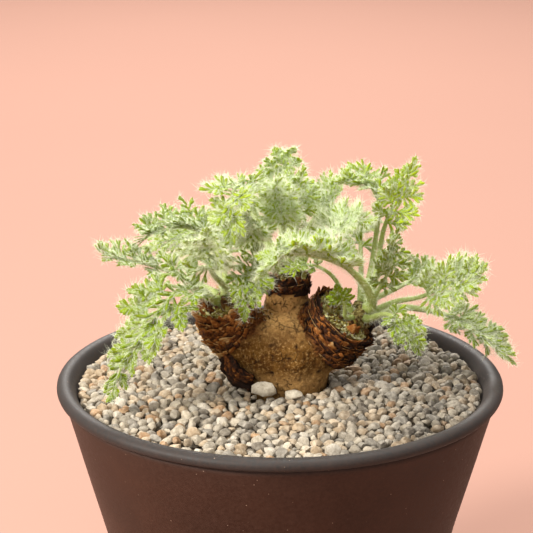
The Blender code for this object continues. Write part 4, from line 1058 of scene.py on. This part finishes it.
def add_stub(heap, foot, way, radius, height, tone):
    """The stump of a shed leaf stalk: a short ribbed peg with a darker, sunken end."""
    side, other = sides_of(way)
    rings = ((0.0, 1.15), (0.35, 1.0), (0.8, 0.92), (1.0, 0.75), (0.9, 0.4))
    points = []
    for up, wide in rings:
        for k, (c, s) in enumerate(circle(9)):
            ribbed = radius * wide * (1.0 + 0.12 * (k % 2))
            points.append(foot + way * height * up + (side * c + other * s) * ribbed)
    points.append(foot + way * height * 0.85)
    faces = tube_faces(len(rings), 9, caps=1).tolist() + [(36 + k, 36 + (k + 1) % 9, 45) for k in range(9)]
    heap.add(points, faces, tone=[tone] * 18 + [tone - 0.1] * 9 + [0.15] * 9 + [0.02] * 10)


def make_crown(head, crown, material, scale, wool):
    """What lies inside a head's collar: mealy grains on a low mound, stubs of old stalks, wool and scales."""
    name = "crown_filling_" + head
    draw = random.Random(crown["seed"])
    heap, fleece, plates, grains = Heap(), Heap(), Heap(), []
    sides, rings = 32, 9
    levels = [((i + 0.02) / (rings - 1), -0.15) for i in range(rings)] + [(0.8, -2.6)]
    points = [crown_spot(crown, share, 2 * math.pi * k / sides, raised)[0]
              for share, raised in levels for k in range(sides)]
    heap.add(points, tube_faces(len(levels), sides, flip=True), tone=0.3)
    for _ in range(crown["grains"]):
        share, angle = math.sqrt(draw.random()), draw.uniform(0, 2 * math.pi)
        spot, axis, _ = crown_spot(crown, share, angle, draw.uniform(-0.1, 0.35))
        tone = crown["tone"] + 0.55 * noise.noise(spot / 2.2) + 0.25 * share
        grains.append((spot, draw.uniform(0.16, 0.42), tone + draw.gauss(0, 0.14)))
        if draw.random() < 0.5:
            add_wisp(fleece, spot, axis + scatter(draw, 0.6), draw.uniform(0.5, 1.5))
    add_grains(heap, grains, draw)
    for _ in range(crown["stubs"]):
        share, angle = draw.uniform(0.25, 0.92), draw.uniform(0, 2 * math.pi)
        spot, axis, out = crown_spot(crown, share, angle, -0.6)
        way = axis + out * draw.uniform(0.0, 0.6) + Vector((draw.gauss(0, 0.15), draw.gauss(0, 0.15), 0))
        add_stub(heap, spot, way.normalized(), draw.uniform(0.5, 1.0), draw.uniform(1.4, 3.2),
                 draw.choice((0.3, 0.5, 0.58, 0.62)))
    for share, angle, half, height, way, tone in crown["scales"]:
        way = Vector(way).normalized()
        foot, axis, _ = crown_spot(crown, share, angle, -0.4)
        side = axis.cross(way).normalized()

        def scale_point(u, cross):
            wide = half * (1 - 0.85 * u ** 1.5)
            back = 0.5 * wide * cross * cross - 0.5 * u * u + 0.35 * ripple(3 * cross, 3 * u, height + half)
            return foot + side * wide * cross + axis * height * u - way * back, way, tone

        curved_plate(plates, plate_grid(6, 7, scale_point), 0.2, 0.1 * draw.random())
    if crown["scales"]:
        plates.piece(name + "_scales", [scale], "dry_scale")
    heap.piece(name, [material], "bark")
    fleece.piece(name + "_wool", [wool], "silky_leaf")


def make_bud_wool(material, wool):
    """The grey wool and dark grains on the small bud between the left two heads."""
    draw = random.Random(23)
    heap, fleece, grains = Heap(), Heap(), []
    for _ in range(260):
        out = Vector((draw.gauss(0, 1), draw.gauss(-0.3, 1), draw.gauss(0.4, 1))).normalized()
        spot = WOOLLY_BUD + out * (WOOLLY_RADIUS + draw.uniform(-0.1, 0.35))
        patch = 0.8 * max(0.0, noise.noise(spot / 1.2))
        grains.append((spot, draw.uniform(0.2, 0.5), 0.18 + patch + draw.gauss(0, 0.08)))
        for _ in range(2):
            add_wisp(fleece, spot, out + scatter(draw, 0.6), draw.uniform(0.5, 1.3))
    add_grains(heap, grains, draw)
    heap.piece("small_bud_grains", [material], "bark")
    fleece.piece("small_bud_wool", [wool], "silky_leaf")


def make_flake(material):
    """The crumpled strip of bark that hangs off the trunk's lower left, and behind it a dark sheet, painted
    shadow of the gap to the trunk.
    """
    route = Route([Vector(p) for p in FLAKE_ROUTE])
    heap = Heap()
    for layer, (size, shift, thickness) in enumerate(FLAKE_LAYERS):

        def strip_point(share, cross):
            s, row = share * route.length, 21 * share
            heading = route.heading(s)
            out = (FLAKE_OUT - heading * FLAKE_OUT.dot(heading)).normalized()
            side = heading.cross(out).normalized()
            ragged = ripple(row * 0.6, layer * 4.0, cross) + ripple(row * 1.7, layer, 7 * cross)
            fold = ripple(s * 0.75, cross * 1.6, layer * 5.0)
            fine = ripple(s * 2.2, cross * 3.5, layer * 9.0)
            half = size * (1.9 - 0.9 * share) * (1 + 0.5 * ragged)
            spot = (route.spot(s) + side * (half * cross + shift * math.sin(2.6 * share))
                    + out * (0.35 * layer - 0.5 + 1.1 * fold + 0.6 * fine - 0.5 * cross * cross))
            return spot, out, 0.1 * layer - 0.1 + 0.45 * fold + 0.4 * fine

        curved_plate(heap, plate_grid(22, 9, strip_point), thickness)

    # The dark sheet behind the strip is painted shadow of the gap between strip and trunk.
    def shadow_point(share, cross):
        row, column = 13 * share, 3 * (cross + 1)
        rough = Vector((0, ripple(row * 0.9, column * 0.9, 3), 0.5 * ripple(row, column, 8)))
        spot = route.spot((0.06 + 0.74 * share) * route.length)
        return spot + FLAKE_SHADOW_SHEET[0].lerp(FLAKE_SHADOW_SHEET[1], column / 6) + rough, FLAKE_OUT.normalized(), -0.12

    curved_plate(heap, plate_grid(14, 7, shadow_point), 0.3)
    heap.piece("crumpled_flake", [material], "dry_scale", "bark_flake")


# Fronds

def tree_of(node):
    """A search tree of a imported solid's surface, in millimetres."""
    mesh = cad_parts[node].data
    return BVHTree.FromPolygons([v.co / MM for v in mesh.vertices], [tuple(p.vertices) for p in mesh.polygons])


class Route:
    """A smooth curve through a few points, read by the length along it."""

    def __init__(self, points):
        ends = [points[0] * 2 - points[1]] + list(points) + [points[-1] * 2 - points[-2]]
        self.spots = []
        for i in range(1, len(ends) - 2):
            for k in range(12):
                self.spots.append(self.between(ends[i - 1:i + 3], k / 12))
        self.spots.append(points[-1])
        self.lengths = [0.0]
        for a, b in zip(self.spots, self.spots[1:]):
            self.lengths.append(self.lengths[-1] + (b - a).length)
        self.length = self.lengths[-1]

    @staticmethod
    def between(four, t):
        """A Catmull-Rom curve's point between the second and third of four."""
        a, b, c, d = four
        bend = 2 * a - 5 * b + 4 * c - d
        twist = 3 * b - a - 3 * c + d
        return 0.5 * (2 * b + (c - a) * t + bend * t ** 2 + twist * t ** 3)

    def spot(self, s):
        """The point s along, running straight on past either end."""
        last = len(self.spots) - 1
        i = 0
        while i < last - 1 and self.lengths[i + 1] < s:
            i += 1
        share = (s - self.lengths[i]) / (self.lengths[i + 1] - self.lengths[i])
        return self.spots[i] + (self.spots[i + 1] - self.spots[i]) * share

    def heading(self, s):
        return (self.spot(s + 0.8) - self.spot(s - 0.8)).normalized()


def seat(spec, surface):
    """Where a stalk starts: just off the bud it springs from."""
    first = spec["route"][0]
    inward = (BUDS[spec["crown"]] - first).normalized()
    return surface.ray_cast(first, inward)[0] + inward * 0.25


class Leaf:
    """The route of one frond and the way its folded blade lies on it."""

    def __init__(self, spec, base):
        self.spec = spec
        self.route = Route([base] + spec["route"])
        self.blade_start = self.route.length - spec["blade"]

    def frame(self, s):
        along = self.route.heading(s)
        up = (self.spec["face"] - along * self.spec["face"].dot(along)).normalized()
        return along, up, up.cross(along)

    def place(self, s, t):
        """The point s along the route and t to its side, on the blade."""
        _, up, side = self.frame(s)
        fold = self.spec["fold"]
        lift = abs(t) * math.sin(fold) - CURL * t * t
        return self.route.spot(s) + side * t * math.cos(fold) + up * lift

    def normal(self, s, t):
        _, up, side = self.frame(s)
        slope = (math.copysign(self.spec["fold"], t) if t else 0.0) - 2 * CURL * t
        return (up * math.cos(slope) - side * math.sin(slope)).normalized()

    def stalk_radius(self, s):
        """Half the thickness of petiole and midrib at a place."""
        stalk, start = self.spec["stalk"], self.blade_start
        if s < start:
            return stalk * (1.0 + 0.45 * max(0.0, 1 - s / 2.5) - 0.38 * s / start)
        return lerp(0.60 * stalk, 0.20, (s - start) / self.spec["blade"])


def turned(way, angle):
    """A flat direction turned by an angle."""
    c, s = math.cos(angle), math.sin(angle)
    return Vector((way.x * c - way.y * s, way.x * s + way.y * c))


class Lobes:
    """The last divisions of a blade, as rows of arrays."""

    def __init__(self, leaf, draw):
        self.leaf, self.spec, self.draw = leaf, leaf.spec, draw
        self.rows = []

    def add(self, start, end, half, raised=0.0, lift=0.0, tone=0.0, bend=0.0):
        """A lobe between two flat places. raised lifts it whole, lift tilts it and bend curves it sideways."""
        root = self.leaf.place(*start)
        normal = self.leaf.normal(*start)
        along = (self.leaf.place(*end) - root).normalized()
        normal = (normal - along * normal.dot(along)).normalized()
        direction = along * math.cos(lift) + normal * math.sin(lift)
        upward = normal * math.cos(lift) - along * math.sin(lift)
        length = math.hypot(end[0] - start[0], end[1] - start[1])
        self.rows.append((*(root + normal * raised), *direction, *upward, length, half, tone, bend))

    def fan(self, foot, axis, length, side, raised, tilt):
        """A hand of narrow fingers round an axis, the middle ones from further out."""
        draw, spec = self.draw, self.spec
        count = 7 if length > 5.5 else 5 if length > 3.6 else 3
        for i in range(count):
            share = 2 * i / (count - 1) - 1
            off = abs(share)
            way = turned(axis, share * FAN_OPENING + draw.gauss(0, 0.08))
            inner = 0.10 + 0.36 * (1 - off)
            base = foot + axis * length * inner
            reach = length * (0.60 - 0.10 * off) * draw.uniform(0.86, 1.12)
            lift = spec["cup"] + tilt + draw.gauss(0, 0.20)
            height = raised + tilt * inner * length
            half = spec["width"] * draw.uniform(0.86, 1.1)
            self.add(base, base + way * reach, half, height, lift, draw.random(), -share * side)
            if reach > FORKED_FINGER:
                fork = 1 if share > 0.1 else -1 if share < -0.1 else draw.choice((-1, 1))
                finger = turned(way, fork * draw.uniform(0.40, 0.58))
                knee = base + way * reach * 0.36
                self.add(knee, knee + finger * reach * 0.52, 0.9 * half, height + reach * 0.36 * math.sin(lift),
                         lift + draw.gauss(0, 0.12), draw.random())

    def pinna(self, s0, side, heading, length):
        """One leaflet: a thin rib that carries one hand of fingers, or three when it is long."""
        draw = self.draw
        axis = Vector((math.cos(heading), side * math.sin(heading)))
        foot = Vector((s0, 0.25 * side))
        tilt = draw.gauss(0.0, 0.20)
        self.add(foot, foot + axis * length * 0.66, 0.26 + 0.02 * length, 0.0, math.atan(tilt), -1.0)
        if length < LONG_LEAFLET:
            self.fan(foot, axis, length, side, 0.0, tilt)
            return
        for turn in (-1, 1):
            way = turned(axis, turn * 0.78 + draw.gauss(0, 0.08))
            base = foot + axis * length * (0.24 + 0.04 * turn)
            self.fan(base, way, length * 0.52, side, tilt * 0.24 * length, tilt)
        self.fan(foot + axis * length * 0.44, axis, length * 0.58, side, tilt * 0.44 * length, tilt)

    def fill(self):
        """All the lobes: leaflets in pairs, the one at the tip, and the crest."""
        spec, draw, start = self.spec, self.draw, self.leaf.blade_start
        pairs = max(2, round(spec["rate"] * spec["pairs"]))
        pitch = spec["blade"] / (pairs + 0.2)
        size, swell, taper = LEAFLET_SIZES
        for k in range(pairs):
            share = k / max(pairs - 1, 1)
            heading = math.radians(lerp(*LEAFLET_LEAN, share))
            length = spec["leaflet"] * (size + swell * share + (taper - spec["taper"]) * share * share)
            for side in (-1, 1):
                s0 = start + (0.25 + k + 0.22 * (side > 0)) * pitch + draw.gauss(0, 0.12) * pitch
                self.pinna(s0, side, heading + draw.gauss(0, 0.08), length * draw.uniform(0.9, 1.08))
        tip = (TIP_LENGTH - 0.6 * spec["taper"]) * spec["leaflet"] + 0.8
        self.pinna(start + spec["blade"] - 0.8, 1, 0.02, tip)
        self.crest()
        return np.array(self.rows)

    def crest(self):
        """Small fingers that rise off the midrib between the leaflets."""
        spec, draw = self.spec, self.draw
        count = round(spec["blade"] * CREST_PER_MM * spec["fluff"] ** 0.5)
        for k in range(count):
            share = (k + draw.random()) / count
            side = 1 if k % 2 else -1
            heading = math.radians(draw.uniform(15, 65))
            reach = spec["leaflet"] * (0.40 - 0.12 * share) * draw.uniform(0.8, 1.15)
            start = Vector((self.leaf.blade_start + share * (spec["blade"] - 1.0), 0.3 * side))
            way = Vector((math.cos(heading), side * math.sin(heading)))
            self.add(start, start + way * reach, spec["width"] * draw.uniform(0.8, 1.0), 0.15,
                     draw.uniform(0.35, 1.15), draw.random(), side * draw.uniform(-1, 1))


def lobe_mesh(rows, heap, spec):
    """The lobes as closed little blades. Gives their side directions."""
    root, along, normal = rows[:, None, 0:3], rows[:, None, 3:6], rows[:, None, 6:9]
    length, half, tone, bend = rows[:, 9:13].T[:, :, None, None]
    side = np.cross(normal, along)
    stations = len(LOBE_STATIONS)
    bow = length * LOBE_STATIONS[:, None] ** 2
    wide = half * LOBE_HALF[:, None]
    centre = root + along * length * LOBE_STATIONS[:, None]
    centre = centre - normal * LOBE_DROOP * bow + side * LOBE_BEND * bend * bow
    across, up = side * wide, normal * wide
    ring = np.stack([centre - across + EDGE_RISE * up, centre + 0.02 * up, centre + across + EDGE_RISE * up,
                     centre - KEEL * up], axis=2)
    points = 4 * stations
    tone = np.repeat(tone.ravel(), points)
    edge = np.tile(np.array([1.0, 0.0, 1.0, 0.45]), len(rows) * stations) * np.where(tone < 0, RIB_PALENESS, 1.0)
    bright = spec["bright"] + 0.25 * (np.maximum(tone, 0) - 0.5)
    heap.add(ring, copies(tube_faces(stations, 4), len(rows), points), LEAF, edge=edge, grey=spec["grey"],
             bright=np.clip(bright, 0, 1))
    return side[:, 0]


def stalk_mesh(leaf, heap):
    """Petiole and midrib as one tapering, faintly ribbed tube."""
    rings = max(14, round(leaf.route.length / 0.9))
    points = []
    for i in range(rings + 1):
        at = leaf.route.length * i / rings
        _, up, side = leaf.frame(at)
        for k, (c, s) in enumerate(circle(STALK_SIDES)):
            ribbed = leaf.stalk_radius(at) * (1.0 + (0.05 if k % 2 else -0.03))
            flat = 0.82 if s > 0.5 else 1.0
            points.append(leaf.route.spot(at) + side * c * ribbed + up * s * ribbed * flat)
    heap.add(points, tube_faces(rings + 1, STALK_SIDES, flip=True), STALK, grey=leaf.spec["grey"], edge=0.4,
             bright=leaf.spec["bright"])


def hair_mesh(heap, root, way, length, width, draw, bend=None):
    """Tapering hairs. With a bend each has a knee, from which it runs on in a bent direction."""
    way = unit(way)
    across = unit(np.cross(way, draw.normal(size=way.shape))) * (0.5 * width)[:, None]
    corners = [root - across, root + across]
    if bend is None:
        corners.append(root + way * length[:, None])
        faces = [(0, 1, 2)]
    else:
        knee = root + way * (0.5 * length)[:, None]
        corners += [knee - 0.7 * across, knee + 0.7 * across, knee + unit(way + bend) * (0.5 * length)[:, None]]
        faces = [(0, 1, 3), (0, 3, 2), (2, 3, 4)]
    heap.add(np.stack(corners, axis=1), copies(faces, len(root), len(corners)), HAIR)


def lobe_hairs(rows, side, spec, heap, draw):
    """Silky hairs on the margins and both faces of the lobes."""
    wanted = rows[:, 9] * HAIRS_PER_MM * spec["fluff"] * np.where(rows[:, 11] < 0, 0.5, 1.0)
    which = np.repeat(np.arange(len(rows)), np.maximum(4, wanted).astype(int))
    count = len(which)
    root, along, normal, across = rows[which, 0:3], rows[which, 3:6], rows[which, 6:9], side[which]
    length, half, _, bend = rows[which, 9:13].T
    u = draw.uniform(0.05, 1.0, count)
    kind = draw.random(count)
    margin = kind < 0.84
    sign = np.where(draw.random(count) < 0.5, -1.0, 1.0)
    t = np.where(margin, sign, draw.uniform(-0.9, 0.9, count)) * half * np.interp(u, LOBE_STATIONS, LOBE_HALF)
    over = np.where(kind < 0.93, 1.0, -1.0)
    bow = length * u ** 2
    rise = np.where(margin, EDGE_RISE, np.where(over > 0, 0.05, -0.3)) * half - LOBE_DROOP * bow
    base = (root + along * (u * length)[:, None] + across * (t + LOBE_BEND * bend * bow)[:, None]
            + normal * rise[:, None])
    ahead = draw.uniform(0.2, 1.1, count)
    out = np.where(margin, sign * draw.uniform(0.5, 1.1, count), draw.uniform(-0.5, 0.5, count))
    rise = np.where(margin, draw.uniform(-0.4, 0.6, count), over * draw.uniform(0.5, 1.2, count))
    way = along * ahead[:, None] + across * out[:, None] + normal * rise[:, None]
    long_ones = draw.random(count) < 0.18 + 0.13 * spec["fluff"]
    size = np.where(long_ones, draw.uniform(1.2, 3.2, count), draw.uniform(0.3, 0.7, count))
    size *= 0.75 + 0.25 * min(spec["fluff"], 1.6)
    hair_mesh(heap, base, way, size, np.where(long_ones, LONG_HAIR_WIDTH, HAIR_WIDTH), draw)


def stalk_hairs(leaf, heap, draw):
    """Long soft hairs all along petiole and midrib."""
    route = leaf.route
    count = int(route.length * STALK_HAIRS_PER_MM * min(leaf.spec["fluff"], 1.3))
    stops = draw.uniform(0.4, route.length, count)
    angles = draw.uniform(0, 2 * np.pi, count)
    steps = np.linspace(0, route.length, 60)
    table = np.array([[*route.spot(s), *(x for way in leaf.frame(s) for x in way), leaf.stalk_radius(s)]
                      for s in steps])
    cells = np.array([np.interp(stops, steps, column) for column in table.T]).T
    spot, along, up, side, radius = cells[:, 0:3], cells[:, 3:6], cells[:, 6:9], cells[:, 9:12], cells[:, 12:13]
    radial = side * np.cos(angles)[:, None] + up * np.sin(angles)[:, None]
    way = radial + along * draw.uniform(-0.1, 0.5, count)[:, None] + 0.25 * draw.normal(size=(count, 3))
    long_ones = draw.random(count) < 0.3
    size = np.where(long_ones, draw.uniform(1.1, 2.1, count), draw.uniform(0.4, 1.1, count))
    bend = 0.35 * draw.normal(size=(count, 3)) + along * 0.2
    width = np.where(long_ones, 0.8 * LONG_HAIR_WIDTH, HAIR_WIDTH)
    hair_mesh(heap, spot + radial * (radius * 0.95), way, size, width, draw, bend)


def make_frond(name, spec, surface, materials):
    leaf = Leaf(spec, seat(spec, surface))
    rows = Lobes(leaf, random.Random(name)).fill()
    heap = Heap()
    side = lobe_mesh(rows, heap, spec)
    stalk_mesh(leaf, heap)
    draw = np.random.default_rng(seed_of(name))
    lobe_hairs(rows, side, spec, heap, draw)
    stalk_hairs(leaf, heap, draw)
    heap.piece("silky_" + name, materials, "silky_leaf", "frond_" + name)


def main():
    make_stage()
    make_pot(stoneware_material())
    make_gravel(pebble_material(), shadow_bed_material())
    make_caudex(bark_material())
    scale, meal = scale_material(), meal_material()
    wool = hair_material("wool", (0.78, 0.76, 0.60), 0.3)
    for head, collar in COLLARS.items():
        make_collar(head, collar, scale)
    for head, crown in CROWNS.items():
        make_crown(head, crown, meal, scale, wool)
    make_bud_wool(meal, wool)
    make_flake(scale)
    surface = tree_of("caudex")
    materials = [leaf_material(), stalk_material(), hair_material("silky hair", (0.86, 0.94, 0.72), 0.5)]
    for name, spec in FRONDS.items():
        make_frond(name, spec, surface, materials)
    for node, name, dark, light, size in HIDDEN:
        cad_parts[node].data.materials[0] = crumbly_material(name, dark, light, size)


main()
